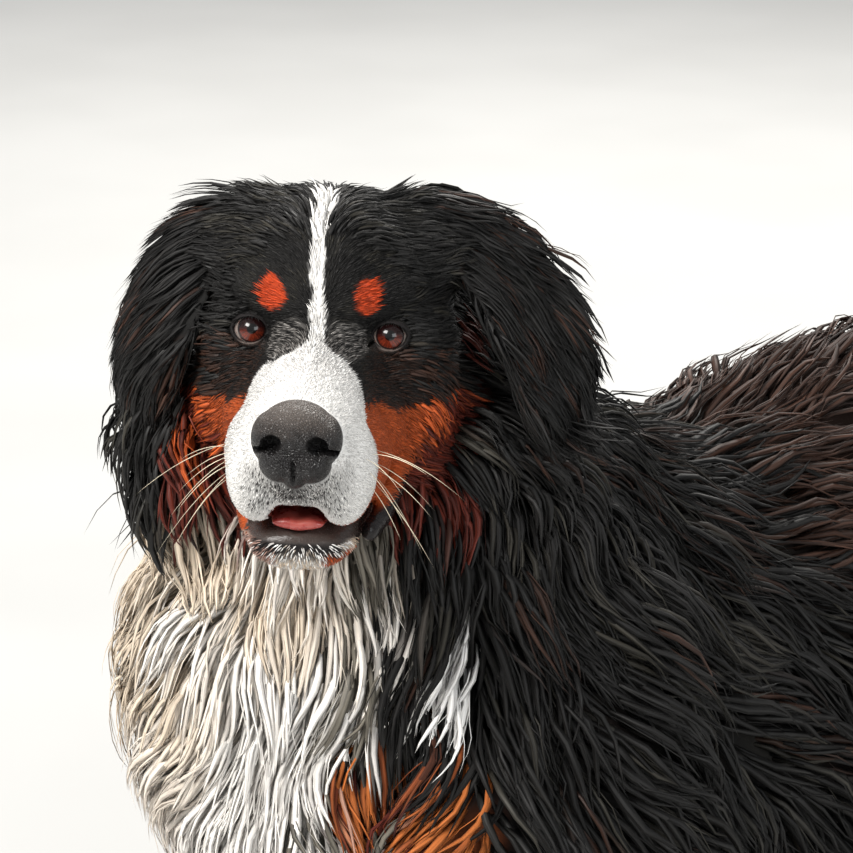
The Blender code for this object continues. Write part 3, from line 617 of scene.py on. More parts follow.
head_forms = skull_forms()
near_part["head"] = tree_of(head_forms)
jaw_shapes = jaw_forms()
near_part["lower_jaw"] = tree_of(jaw_shapes)
ears = {}
for side, name in ((LEFT, "ear_left"), (RIGHT, "ear_right")):
    ears[name] = ear_form(side)
    near_part[name] = tree_of([ears[name]])
head_skin = melted("head_skin", head_forms, HEAD_VOXEL, 26)
face_moves = [
    ((0, -0.4, 1.6), (1.2, 2.0, 1.2), (0, 0.3, -0.2)),
    ((0, 1.8, 6.5), (0.9, 3.0, 2.5), (0, 0.15, -0.3)),
    ((0, -11.6, -7.4), (0.35, 1.2, 1.6), (0, 0.35, 0.0)),
]
for side in (LEFT, RIGHT):
    face_moves += [
        ((side * EYE_APART_CM / 2, -0.4, 0.1), (1.5, 2.0, 1.1), (0, 1.0, 0)),
        ((side * 4.1, -0.1, 1.45), (1.5, 1.2, 0.35), (0, -0.20, 0.05)),
        ((side * 4.3, 0.2, -1.35), (1.3, 1.2, 0.22), (0, -0.10, 0.0)),
        ((side * 4.3, 0.2, -1.80), (1.4, 1.2, 0.20), (0, 0.12, 0.0)),
        ((side * 2.6, -0.6, -1.4), (1.2, 1.6, 0.9), (0, 0.25, 0.0)),
        ((side * 4.7, -1.2, -2.2), (1.6, 2.2, 0.8), (side * -0.25, 0.1, 0)),
    ]
sculpted(head_skin, face_moves)
jaw_skin = melted("jaw_skin", jaw_shapes, 0.0025, 6)
ear_skins = [melted(name, [ear], 0.003, 2) for name, ear in ears.items()]
lids = [head_ball(eye_centre(side), (1.34, 1.30, 1.26), detail=5) for side in (LEFT, RIGHT)]
boolean(head_skin, lids, "UNION")
boolean(head_skin, [jaw_skin] + ear_skins, "UNION")
mouth = head_loft(MOUTH, around=24)
near_mouth = tree_of([mouth])
for cutters in (eye_opening(LEFT), eye_opening(RIGHT), [mouth]):
    for cutter in cutters:
        boolean(head_skin, [cutter], "DIFFERENCE")
boolean(head_skin, [head_ball((0, -11.2, -9.5), (1.7, 2.6, 1.05))], "DIFFERENCE")
nose_pad = melted("nose_pad", nose_forms(), NOSE_VOXEL, 6)
near_nose = tree_of([nose_pad])
boolean(head_skin, [copied(nose_pad)], "DIFFERENCE")
skin = boolean(body_skin, [head_skin], "UNION")
skin.name = "skin"
triangulate = skin.modifiers.new("triangles", "TRIANGULATE")
applied(skin)
bpy.ops.object.shade_smooth()

LOWEST = 0.0012
skin_mesh = skin.data
skin_points = np.empty(len(skin_mesh.vertices) * 3)
skin_mesh.vertices.foreach_get("co", skin_points)
skin_points[2::3] = np.maximum(skin_points[2::3], LOWEST)
skin_mesh.vertices.foreach_set("co", skin_points)
skin_mesh.update()
skin_points = skin_points.reshape(-1, 3)
skin_faces = np.empty(len(skin_mesh.polygons) * 3, np.int32)
skin_mesh.polygons.foreach_get("vertices", skin_faces)
skin_faces = skin_faces.reshape(-1, 3)
skin_corners = skin_points[skin_faces]
skin_middles = skin_corners.mean(axis=1)
skin_normals = np.cross(skin_corners[:, 1] - skin_corners[:, 0], skin_corners[:, 2] - skin_corners[:, 0])
skin_areas = np.linalg.norm(skin_normals, axis=1) / 2
skin_normals /= np.maximum(skin_areas[:, None] * 2, 1e-12)
skin_tree = tree_of([skin])


FAR = 0.06


def distances(tree, points):
    found = [tree.find_nearest(point, FAR)[3] for point in points]
    return np.array([FAR if away is None else away for away in found])


part_names = list(near_part)
part_away = np.stack([distances(near_part[name], skin_middles) for name in part_names])
skin_part = part_away.argmin(axis=0)
mouth_away = distances(near_mouth, skin_middles)

# Markings
# Black over the back, ears and skull. White on the blaze, muzzle, chest, toes and the tail's tip.
# Rust between the two, on the cheeks, over the eyes, on the legs and beside the chest.
# The brownish black is partly the coat's own browned black and partly a painted brown sheen on it.
BLACK, BROWN_BLACK_AND_SHEEN = (0.0085, 0.0078, 0.0072), (0.045, 0.019, 0.011)
# The olive below is a painted sheen on the black hair.
OLIVE_SHEEN, GREY, PINK = (0.028, 0.025, 0.019), (0.30, 0.28, 0.26), (0.42, 0.25, 0.20)
RUST, DEEP_RUST = (0.50, 0.088, 0.016), (0.105, 0.014, 0.006)
BROW_RUST = (0.56, 0.060, 0.012)
WHITE, CREAM = (0.90, 0.88, 0.85), (0.66, 0.53, 0.40)
LIP_BAND = (0.050, 0.037, 0.032)
TAWNY, ASH, DOWN = (0.40, 0.110, 0.022), (0.14, 0.125, 0.100), (0.70, 0.585, 0.455)
LIP, RIM, SHADED_MOUTH_RED = (0.009, 0.007, 0.007), (0.150, 0.115, 0.100), (0.060, 0.008, 0.006)
LIP_TOP, LIP_BOTTOM = -10.1, -10.85


def ripple(points, size, seed):
    """A smooth wandering number, mostly from -1 to 1, whose waves are about this long."""
    rng = np.random.default_rng(seed)
    total = np.zeros(len(points))
    for _ in range(6):
        way = rng.normal(size=3)
        way *= 2 * math.pi / (np.linalg.norm(way) * size * rng.uniform(0.7, 1.4))
        total += np.sin(points @ way + rng.uniform(0, 2 * math.pi))
    return total / 3


def step(low, high, value):
    share = np.clip((value - low) / (high - low), 0, 1)
    return share * share * (3 - 2 * share)


class Dye:
    """The colours of a coat, painted one over another.

    chance, a random number for each tuft, makes a tuft wholly one colour or the other where two
    meet. Without it, as on the skin, the colours blend.
    """

    def __init__(self, ground, count, chance=None):
        self.colours = np.tile(ground, (count, 1)).astype(float)
        self.chance = chance

    def over(self, colour, mask):
        if self.chance is not None:
            mask = step(-0.12, 0.12, mask - self.chance)
        self.colours += (np.array(colour) - self.colours) * mask[:, None]
        return self


def spot(local, centre, radii):
    """1 inside an ellipsoid of the head's frame, falling to 0 outside it."""
    away = (((local - np.array(centre)) / np.array(radii)) ** 2).sum(axis=1)
    return 1 - step(0.6, 1.4, away)


def face_colour(points, chance):
    wander = np.stack([ripple(points, 0.012, seed) for seed in (1, 2, 3)], axis=1)
    local = head_frame(points) + 0.10 * wander
    x, y, z = local.T
    ax = np.abs(x)
    dye = Dye(BLACK, len(points), chance)
    # Painted sheen: olive-brown patches laid over the black hair.
    dye.over(OLIVE_SHEEN, 0.45 * step(-0.4, 0.9, ripple(points, 0.03, 6)))
    # Painted brown sheen on the black below the eyes.
    dye.over(BROWN_BLACK_AND_SHEEN, 0.5 * step(0.5, -1.5, z) * step(2.5, 4.0, ax) * step(9, 5, y))
    cheek = step(0.25, -0.45, z - np.interp(ax, [3.0, 4.2, 5.2, 7.5], [-2.6, -3.3, -4.0, -4.4]))
    rust = cheek * step(11.0, 8.0, y)
    dye.over(RUST, rust)
    dye.over(DEEP_RUST, rust * 0.9 * step(0.5, 6.0, y - 0.5 * (z + 5.0)))
    for side in (LEFT, RIGHT):
        dye.over(GREY, 0.42 * spot(local, (side * 1.75, -1.6, -0.2), (1.5, 3.2, 1.35)))
        dye.over(BROW_RUST, spot(local, (side * 2.93, 0.0, 2.62), (0.84, 3.0, 1.10)))
    middle = np.interp(z, [0.0, 3.0, 7.0], [0.05, -0.07, -0.27])
    reach = np.interp(y, [-7.5, -6, -5, -4.3, -3.8, -3.3, -2.4, 0.5], [4.2, 3.4, 2.9, 2.3, 1.3, 0.75, 0.52, 0.45])
    reach = np.where(z > 1.5, np.interp(z, [1.5, 3.0, 6.0, 7.6], [0.45, 0.40, 0.44, 0.80]), reach)
    white = step(0.16, -0.16, np.abs(x - middle) - reach) * step(-2.6, -1.6, z) * step(8.6, 7.4, y)
    edge_left = np.interp(z, [-9.5, -8.0, -6.5, -3.6, -2.6, -1.6], [-9.4, -8.8, -7.8, -7.5, -6.0, -4.9])
    edge_right = np.interp(z, [-9.5, -8.0, -6.5, -3.6, -2.6, -1.6], [-9.0, -8.0, -6.0, -4.2, -3.6, -3.3])
    edge = edge_right + (edge_left - edge_right) * step(-1, 1, x)
    white = np.maximum(white, step(0.3, -0.3, y - edge) * step(-0.6, -1.6, z))
    dye.over(WHITE, white)
    below = step(-5.2, -6.2, z) * step(-10.0, -11.4, y)
    dye.over(LIP, below * np.interp(ax, [0.1, 0.5, 1.4, 3.0, 3.9], [0.80, 0.62, 0.50, 0.30, 0.0]))
    return dye.colours


def chin_colour(points, chance):
    local = head_frame(points)
    x, y, z = local.T
    dye = Dye(WHITE, len(points), chance)
    dye.over(CREAM, 0.5 + 0.5 * step(-9.0, -6.5, y))
    dye.over(PINK, 0.8 * step(-0.9, -1.7, x) * step(-5.5, -7.0, y))
    dye.over(RUST, 0.9 * step(1.2, 2.0, x) * step(-11.1, -11.9, z))
    dye.over(DEEP_RUST, step(-5.0, -1.0, y))
    bare = 1.0 if chance is None else 0.45
    dye.over(LIP, bare * step(-12.5, -11.3, z) * step(3.2, 2.4, np.abs(x)))
    return dye.colours


def body_colour(points, chance):
    wander = 0.010 * ripple(points, 0.05, 11)
    x, y, z = points.T
    dye = Dye(BLACK, len(points), chance)
    # Painted sheen: olive-brown patches laid over the black coat.
    dye.over(OLIVE_SHEEN, 0.55 * step(-0.5, 0.8, ripple(points, 0.04, 19)))
    # Brownish black over the top of the rump and in broad random patches: partly the coat's own sun-browned tone,
    # partly painted sheen.
    dye.over(BROWN_BLACK_AND_SHEEN, 0.85 * step(0.02, 0.16, y + wander) * step(0.24, 0.34, z))
    dye.over(BROWN_BLACK_AND_SHEEN, 0.30 * step(0.1, 0.9, ripple(points, 0.09, 12)))
    front = np.degrees(np.arctan2(x, -(y + 0.16))) + 500 * wander
    ahead = step(0.02, -0.02, y + 0.10)
    left_edge = np.interp(z, [0.10, 0.20, 0.30, 0.40, 0.50], [15, 18, 23, 27, 28])
    rust = step(left_edge + 30, left_edge + 16, front) * step(-88, -76, front) * step(0.270, 0.230, z + wander)
    dye.over(DEEP_RUST, rust * ahead)
    dye.over(TAWNY, 0.7 * rust * ahead)
    across, behind, under_eyes = head_frame(points).T
    under_eyes = under_eyes + 90 * wander
    throat = step(-10.2, -8.8, across) * step(11.0, 9.5, across) * step(-16.5, -14.0, under_eyes)
    throat = throat * ahead * step(12.5, 9.5, behind)
    dye.over(DEEP_RUST, throat)
    dye.over(RUST, 0.6 * throat * step(8.2, 6.8, np.abs(across + 1.0)) * step(-13.0, -11.0, under_eyes))
    chest = step(left_edge + 5, left_edge - 5, front) * step(-74, -60, front) * ahead
    chest = chest * step(-14.2, -15.6, under_eyes + 2.2 * step(-6.5, -9.5, across))
    pale = step(-0.9, 0.7, ripple(points, 0.10, 13) + 8 * (0.33 - z) + 12 * x)[:, None]
    dye.over(np.array(DOWN) + (np.array(WHITE) - np.array(DOWN)) * pale * 0.8, chest)
    dye.over(ASH, 0.9 * step(-0.5, 0.4, ripple(points, 0.04, 17)) * chest * step(left_edge - 18, left_edge - 5, front))
    middle = points - np.array((0.082, -0.292, 0.296))
    beside, before = middle @ np.array((0.743, 0.669, 0)), middle @ np.array((0.669, -0.743, 0))
    tuft = (beside / 0.018) ** 2 + (before / 0.055) ** 2 + (middle[:, 2] / 0.036) ** 2
    dye.over(WHITE, step(1.5, 0.7, tuft))
    return dye.colours


def leg_colour(points, toe, wrist, chance):
    wander = 0.008 * ripple(points, 0.03, 14)
    y = points[:, 1]
    dye = Dye(BLACK, len(points), chance)
    dye.over(TAWNY, step(wrist + 0.10, wrist + 0.04, y + wander))
    return dye.over(WHITE, step(toe + 0.085, toe + 0.065, y + wander) * step(0.085, 0.070, points[:, 2]))


def marking(points, part, chance=None):
    """The colour of the coat at each point of a part of the skin."""
    if part == "head":
        return face_colour(points, chance)
    if part == "lower_jaw":
        return chin_colour(points, chance)
    if part.startswith("foreleg"):
        return leg_colour(points, -0.52, -0.36, chance).colours
    if part.startswith("hind_leg"):
        dye = leg_colour(points, 0.095, -1.0, chance)
        low = step(0.085, 0.065, points[:, 2] + 0.008 * ripple(points, 0.03, 16))
        return dye.over(TAWNY, low * step(0.17, 0.19, points[:, 1])).colours
    if part == "tail":
        return Dye(BLACK, len(points), chance).over(WHITE, step(0.19, 0.22, points[:, 0])).colours
    if part.startswith("ear"):
        # Brownish black in random patches on the ears: partly their own tone, partly painted sheen.
        return Dye(BLACK, len(points), chance).over(BROWN_BLACK_AND_SHEEN, 0.5 * step(0, 1, ripple(points, 0.03, 18))).colours
    return body_colour(points, chance)


def tinted(piece, colours, name="coat_colour"):
    """One colour for each point of the piece, kept with its mesh."""
    tint = piece.data.color_attributes.new(name, "FLOAT_COLOR", "POINT")
    full = np.ones((len(colours), 4), np.float32)
    full[:, :3] = colours
    tint.data.foreach_set("color", full.ravel())


def weighed(piece, name, values):
    """One number for each point of the piece, kept with its mesh."""
    piece.data.attributes.new(name, "FLOAT", "POINT").data.foreach_set("value", values.astype(np.float32))


def round_eye(local, margin=0.0):
    """1 at the middle of each eye's opening, 0 at the edge of its lids and this far past it."""
    lid = np.zeros(len(local))
    for side in (LEFT, RIGHT):
        x, y, z = (local - np.array(eye_centre(side))).T
        slant = z - 0.10 - side * x * 0.12
        away = np.sqrt(((x - side * 0.02) / (1.36 + margin)) ** 2 + (slant / (1.08 + margin)) ** 2)
        lid = np.maximum(lid, np.where((y < 0.6) & (y > -3.0), 1 - away, 0))
    return lid


def lip_fold_away(local):
    """How far, in centimetres, from the lower rim of the folds at the corners of the mouth."""
    away = np.full(len(local), 9.0)
    rim = np.array([(x + 0.1, y, z - 0.35 * deep) for x, y, z, _, deep in LIP_FOLD])
    for near, far in zip(rim, rim[1:]):
        place = np.stack([np.abs(local[:, 0]), local[:, 1], local[:, 2]], axis=1) - near
        share = np.clip((place @ (far - near)) / ((far - near) @ (far - near)), 0, 1)
        away = np.minimum(away, np.linalg.norm(place - share[:, None] * (far - near), axis=1))
    return away


def bare_lip(local):
    """1 on the bare lower lip and on the folds at the corners of the mouth."""
    x, y, z = local.T
    lip = step(LIP_BOTTOM - 0.1, LIP_BOTTOM + 0.1, z) * step(LIP_TOP + 1.2, LIP_TOP + 0.9, z) * step(1, -1, y)
    return lip, step(1.15, 0.95, lip_fold_away(local)) * (x > 0)


skin_local = head_frame(skin_points)
vertex_part = np.zeros(len(skin_points), np.int32)
vertex_part[skin_faces.ravel()] = np.repeat(skin_part, 3)
vertex_mouth = np.full(len(skin_points), FAR)
vertex_mouth[skin_faces.ravel()] = np.repeat(mouth_away, 3)
hide_dye = Dye(BLACK, len(skin_points))
for index, name in enumerate(part_names):
    own = vertex_part == index
    if own.any():
        ground = marking(skin_points[own], name)
        hide_dye.colours[own] = ground * (0.5 + 0.4 * ground[:, :1])
on_head = np.isin(vertex_part, [part_names.index("head"), part_names.index("lower_jaw")])
lower_lip, lip_fold = bare_lip(skin_local)
lower_lip = lower_lip * (vertex_part == part_names.index("lower_jaw"))
wet = np.maximum.reduce([lower_lip, lip_fold * on_head, step(0.0040, 0.0025, vertex_mouth)])
hide_dye.over(LIP, wet)
hide_dye.over(LIP_BAND, 0.9 * lower_lip)
# Painted shade: the red lining just inside the front of the mouth is darkened to a deep red.
hide_dye.over(SHADED_MOUTH_RED, step(0.0022, 0.0010, vertex_mouth) * step(-4.0, -7.5, skin_local[:, 1] - 0.8))
lids_mask = step(0.0, 0.10, round_eye(skin_local))
lower_rim = lids_mask * step(-0.45, -0.75, skin_local[:, 2]) * step(0.42, 0.28, round_eye(skin_local))
hide_dye.over(LIP, lids_mask)
hide_dye.over(RIM, lower_rim * 0.7)
tinted(skin, hide_dye.colours)
weighed(skin, "wet", np.maximum(wet, lids_mask * 0.3))
hide, graph, shader = finish_of("skin_under_coat", LIP, 0.55, Specular_IOR_Level=0.28)
colour = graph.node("ShaderNodeVertexColor", {"layer_name": "coat_colour"})
moist = graph.node("ShaderNodeAttribute", {"attribute_name": "wet"}, output=2)
place = graph.node("ShaderNodeTexCoord", output=3)
pores = graph.node("ShaderNodeTexNoise", None, {"Vector": place, "Scale": 900.0, "Detail": 3.0})
folds = graph.node("ShaderNodeTexNoise", None, {"Vector": place, "Scale": 260.0, "Detail": 2.0})
bump = graph.node("ShaderNodeBump", None, {"Height": pores * 0.4 + folds, "Strength": 0.5, "Distance": 0.0009})
feed(graph, shader, Base_Color=colour, Normal=bump, Roughness=0.85 - moist * (0.50 + pores * 0.20))
skin.data.materials.clear()
skin.data.materials.append(hide)
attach(skin, "root")
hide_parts(*[name for name in frame["nodes"] if name not in ("eye_left", "eye_right", "nose", "tongue")])

# Eyes
# Two wet balls behind the lids. The clear front bulges over the brown iris, whose fibres run out
# from the pupil to a dark rim, and a little white shows in the corners. The iris fades to near
# black at its top, a painted shadow of the upper lid.
PUPIL, IRIS, EYE_BULGE = 0.32, 0.86, 0.075
BULGE_WIDTH = math.radians(46)
for side, name in ((LEFT, "left"), (RIGHT, "right")):
    centre = head_point(*eye_centre(side))
    gaze = (camera.location - centre).normalized()
    turn = gaze.to_track_quat("Z", "Y").to_matrix()
    bpy.ops.mesh.primitive_uv_sphere_add(segments=72, ring_count=56, radius=EYE_RADIUS_CM * CM)
    eye = bpy.context.object
    eye.name = f"eyeball_{name}"
    for vertex in eye.data.vertices:
        share = min(1.0, vertex.co.angle(Vector((0, 0, 1))) / BULGE_WIDTH)
        vertex.co *= 1 + EYE_BULGE * (1 - share * share) ** 2
    eye.data.transform(Matrix.Translation(centre) @ turn.to_4x4())
    bpy.ops.object.shade_smooth()
    wet_eye, graph, shader = finish_of(
        f"wet_eye_{name}", (0.1, 0.03, 0.01), 0.2, Coat_Weight=0.55, Coat_Roughness=0.02, Specular_IOR_Level=0.2,
    )
    place = graph.node("ShaderNodeTexCoord", output=3)
    sockets = {"Vector": place, "Location": centre, "Rotation": turn.to_euler()}
    own = graph.node("ShaderNodeMapping", {"vector_type": "TEXTURE"}, sockets)
    across = graph.node("ShaderNodeSeparateXYZ", None, {0: own}, 0) * 100.0
    above = graph.node("ShaderNodeSeparateXYZ", None, {0: own}, 1) * 100.0
    from_middle = graph.maths("SQRT", across * across + above * above)
    angle = graph.maths("ARCTAN2", above, across)
    ring = graph.node("ShaderNodeCombineXYZ", None, {0: graph.maths("SINE", angle), 1: graph.maths("COSINE", angle), 2: from_middle * 0.35})
    fibres = graph.node("ShaderNodeTexNoise", None, {"Vector": ring, "Scale": 9.0, "Detail": 3.0}).between(0.3, 0.7)
    brown = fibres.mixed(in_colour((0.050, 0.008, 0.004)), in_colour((0.22, 0.030, 0.012)))
    # Painted shadow of the upper lid: the iris fades to near black towards its top.
    iris_in_lid_shadow = above.between(0.20, -0.55).mixed(in_colour((0.010, 0.003, 0.003)), brown)
    rim = from_middle.between(IRIS * 0.80, IRIS * 0.97).mixed(iris_in_lid_shadow, in_colour((0.006, 0.004, 0.004)))
    pupil = from_middle.between(PUPIL - 0.03, PUPIL + 0.03).mixed(in_colour((0.002, 0.002, 0.002)), rim)
    veins = graph.node("ShaderNodeTexNoise", None, {"Vector": place, "Scale": 700.0, "Detail": 4.0}).between(0.52, 0.68)
    white = veins.mixed(in_colour((0.24, 0.20, 0.18)), in_colour((0.16, 0.07, 0.055)))
    edge = from_middle.between(IRIS * 0.97, IRIS * 1.08).mixed(pupil, white)
    feed(graph, shader, Base_Color=edge, Roughness=fibres * 0.05 + 0.18)
    eye.data.materials.append(wet_eye)
    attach(eye, "root")
    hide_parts(f"eye_{name}")

# Nose
# A pad of bare pebbled leather, brown-grey above and black in front, with two round nostrils that
# run out into slits, and a groove from between them down to the lip. The brown-grey above is partly
# the leather's own and partly painted sheen, palest at the very top; painted shade darkens the
# grooves between the pebbles and the insides of the nostrils.
NOSTRIL = (1.38, -14.0, -4.15)
nose = nose_pad
nose.name = "nose_leather"
cutters = [head_ball((0, -14.05, -5.9), (0.13, 0.75, 1.7))]
for side in (LEFT, RIGHT):
    cutters.append(head_ball((side * NOSTRIL[0], *NOSTRIL[1:]), (0.66, 1.25, 0.56), (0, side * 25, 0)))
    cutters.append(head_ball((side * 2.15, -13.2, -4.55), (0.80, 1.1, 0.20), (0, side * 22, 0)))
for cutter in cutters:
    boolean(nose, [cutter], "DIFFERENCE")
nose = melted("nose_leather", [nose], NOSE_VOXEL, 4)
bpy.ops.object.shade_smooth()
nose_points = np.array([vertex.co for vertex in nose.data.vertices])
nose_local = head_frame(nose_points)
nostril_shade = np.zeros(len(nose_points))
for side in (LEFT, RIGHT):
    away = (nose_local - np.array((side * NOSTRIL[0], -13.2, NOSTRIL[2]))) / np.array((0.72, 1.0, 0.62))
    nostril_shade = np.maximum(nostril_shade, 1 - step(0.8, 1.15, np.linalg.norm(away, axis=1)))
leather = Dye((0.008, 0.006, 0.006), len(nose_points))
# The upper leather turns brown-grey and palest at the very top: partly its own drier tone, partly painted sheen where
# the top faces the light.
leather.over((0.070, 0.056, 0.048), step(-4.1, -2.6, nose_local[:, 2] + 0.25 * ripple(nose_points, 0.01, 5)))
leather.over((0.160, 0.135, 0.118), 0.8 * step(-3.1, -2.1, nose_local[:, 2]))
# Painted shade inside the nostrils: they are coloured darker than the leather round them.
leather.over((0.003, 0.002, 0.002), nostril_shade)
tinted(nose, leather.colours)
nose_hide, graph, shader = finish_of("nose_leather", (0.02, 0.017, 0.016), 0.4, Specular_IOR_Level=0.45)
colour = graph.node("ShaderNodeVertexColor", {"layer_name": "coat_colour"})
place = graph.node("ShaderNodeTexCoord", output=3)
pebbles = graph.node("ShaderNodeTexVoronoi", {"feature": "DISTANCE_TO_EDGE"}, {"Vector": place, "Scale": 620.0})
dome = pebbles.between(0.0, 0.32)
worn = graph.node("ShaderNodeTexNoise", None, {"Vector": place, "Scale": 420.0, "Detail": 3.0}).between(0.3, 0.7)
# Painted shade in the grooves between the pebbles: the colour darkens towards each pebble's edge.
groove_shade = graph.node("ShaderNodeVectorMath", {"operation": "SCALE"}, {0: colour, "Scale": 0.55})
bump = graph.node("ShaderNodeBump", None, {"Height": dome + worn * 0.3, "Strength": 0.85, "Distance": 0.0008})
feed(graph, shader, Base_Color=dome.mixed(groove_shade, colour), Roughness=0.26 + worn * 0.22, Normal=bump)
nose.data.materials.clear()
nose.data.materials.append(nose_hide)
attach(nose, "root")
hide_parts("nose")

# Tongue
# The wet tip of the tongue, lying between the rows of lips with a shallow groove along its middle.
TONGUE = (
    ((0, 3.0, -8.2), 2.3, 0.70),
    ((0, -3.0, -8.7), 2.2, 0.62),
    ((0, -7.0, -9.35), 1.95, 0.50),
    ((0, -9.7, -9.68), 1.55, 0.38),
)
tongue = melted("tongue_top", [head_loft(TONGUE, around=40)], 0.0012, 4)
sculpted(tongue, [((0, y, -8.6), (0.35, 1.6, 0.8), (0, 0, -0.16)) for y in (-9.5, -7.5, -5.5)])
bpy.ops.object.shade_smooth()
moist_red, graph, shader = finish_of("tongue_red", (0.40, 0.10, 0.085), 0.3, Coat_Weight=0.4, Subsurface_Weight=0.1)
place = graph.node("ShaderNodeTexCoord", output=3)
buds = graph.node("ShaderNodeTexVoronoi", None, {"Vector": place, "Scale": 1300.0})
blush = graph.node("ShaderNodeTexNoise", None, {"Vector": place, "Scale": 140.0, "Detail": 3.0}).between(0.3, 0.7)
bump = graph.node("ShaderNodeBump", None, {"Height": buds, "Strength": 0.35, "Distance": 0.0003})
reds = blush.mixed(in_colour((0.28, 0.030, 0.026)), in_colour((0.42, 0.085, 0.065)))
feed(graph, shader, Base_Color=reds, Normal=bump, Roughness=blush * 0.15 + 0.22)
tongue.data.materials.clear()
tongue.data.materials.append(moist_red)
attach(tongue, "root")
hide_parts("tongue")

# Claws
# Four blunt dark horn claws on each foot, rooted in the toes and curving down to the floor.
horn, graph, shader = finish_of("claw_horn", (0.03, 0.025, 0.022), 0.35)
place = graph.node("ShaderNodeTexCoord", output=3)
layers = graph.node("ShaderNodeTexNoise", None, {"Vector": place, "Scale": 500.0, "Detail": 3.0}).between(0.3, 0.7)
browns = layers.mixed(in_colour((0.016, 0.012, 0.010)), in_colour((0.075, 0.058, 0.045)))
bump = graph.node("ShaderNodeBump", None, {"Height": layers, "Strength": 0.3, "Distance": 0.0003})
feed(graph, shader, Base_Color=browns, Normal=bump, Roughness=layers * 0.15 + 0.28)
for name, middle in PAWS.items():
    claws = []
    for across, ahead, size in TOES:
        tip = middle + Vector((across * 1.06, -ahead - 0.026 * size, 0.0))
        curve = (
            (tip + Vector((0, 0.010, 0.020)), 0.0032, 0.0042),
            (tip + Vector((0, 0.000, 0.0185)), 0.0031, 0.0040),
            (tip + Vector((0, -0.008, 0.0140)), 0.0026, 0.0033),
            (tip + Vector((0, -0.0135, 0.0080)), 0.0018, 0.0022),
            (tip + Vector((0, -0.0155, 0.0042)), 0.0010, 0.0012),
        )
        claws.append(loft(curve, around=16))
    claw = joined(f"claws_{name}", claws)
    bpy.ops.object.shade_smooth()
    claw.data.materials.append(horn)
    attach(claw, "root")

# Coat
# Hair over the whole skin in thin closed blades that rise from their roots and then lie along the
# coat. Long hair hangs in wavy locks with loose strands round them, short hair lies flat.
PATCH = 0.003
STRANDS_PER_MM, STRAND_REACH = 0.62, 0.022


def unwrapped(face_ids):
    """The corners' places on an unwrap of these faces of the skin."""
    used, index = np.unique(skin_faces[face_ids], return_inverse=True)
    mesh = bpy.data.meshes.new("unwrap")
    mesh.from_pydata(skin_points[used].tolist(), [], index.reshape(-1, 3).tolist())
    sheet = bpy.data.objects.new("unwrap", mesh)
    bpy.context.scene.collection.objects.link(sheet)
    only(sheet)
    mesh.uv_layers.new(name="OFBake")
    bpy.ops.object.mode_set(mode="EDIT")
    bpy.ops.mesh.select_all(action="SELECT")
    bpy.ops.uv.smart_project(angle_limit=math.radians(75), island_margin=0.004)
    bpy.ops.object.mode_set(mode="OBJECT")
    places = np.empty(len(face_ids) * 6)
    mesh.uv_layers[0].data.foreach_get("uv", places)
    bpy.data.objects.remove(sheet)
    bpy.data.meshes.remove(mesh)
    return places.reshape(-1, 3, 2)


def scattered(face_ids, weight, count, rng):
    """Evenly strewn places: face, point, and shares of its three corners."""
    middles = skin_middles[face_ids]
    cell = np.floor((middles - middles.min(axis=0)) / 0.01).astype(np.int64)
    order = np.lexsort((cell[:, 0], np.where(cell[:, 2] % 2, -cell[:, 0], cell[:, 0]), cell[:, 1], cell[:, 2]))
    total = np.cumsum((skin_areas[face_ids] * weight)[order])
    marks = (np.arange(count) + rng.random(count)) / count * total[-1]
    chosen = order[np.searchsorted(total, marks).clip(0, len(order) - 1)]
    a, b = rng.random((2, count))
    fold = a + b > 1
    a, b = np.where(fold, 1 - a, a), np.where(fold, 1 - b, b)
    shares = np.stack([1 - a - b, a, b], axis=1)
    points = (skin_corners[face_ids[chosen]] * shares[:, :, None]).sum(axis=1)
    return chosen, points, shares


def unit(vectors):
    return vectors / np.maximum(np.linalg.norm(vectors, axis=-1, keepdims=True), 1e-9)


def combed(roots, normals, lengths, heights, steps, lie, stiff, cling, rise, turn, seed):
    """Paths that climb from the roots and follow the lie, never nearer the skin than their height.

    stiff is how much a hair keeps its heading, and cling how fast it comes back down to the skin.
    """
    near, over_skin, tips = roots.copy(), normals.copy(), roots.copy()
    paths, outward = [roots.copy()], [normals.copy()]
    heading = None
    for k in range(1, steps + 1):
        way = lie(near, over_skin)
        way = unit(way - over_skin * (way * over_skin).sum(axis=1)[:, None] * 0.9)
        drift = turn * (ripple(near, 0.09, seed) + 0.5 * ripple(near, 0.025, seed + 1))
        way = unit(way + np.cross(over_skin, way) * drift[:, None])
        heading = way if heading is None else unit(heading * stiff + way * (1 - stiff))
        tips = tips + heading * (lengths / steps)[:, None]
        found = [skin_tree.find_nearest(tip) for tip in tips]
        near = np.array([hit[0] for hit in found])
        over_skin = unit(over_skin * 0.5 + np.array([hit[1] for hit in found]) * 0.5)
        high = ((tips - near) * over_skin).sum(axis=1)
        want = heights * (1 - (1 - min(1.0, k / steps / rise)) ** 2)
        high_now = np.where(high < want, want, high + (want - high) * cling)
        tips = tips + over_skin * (high_now - high)[:, None]
        paths.append(tips.copy())
        outward.append(over_skin.copy())
    paths = np.stack(paths, axis=1)
    for _ in range(2):
        paths[:, 1:-1] = paths[:, 1:-1] * 0.5 + (paths[:, :-2] + paths[:, 2:]) * 0.25
    return paths, np.stack(outward, axis=1)


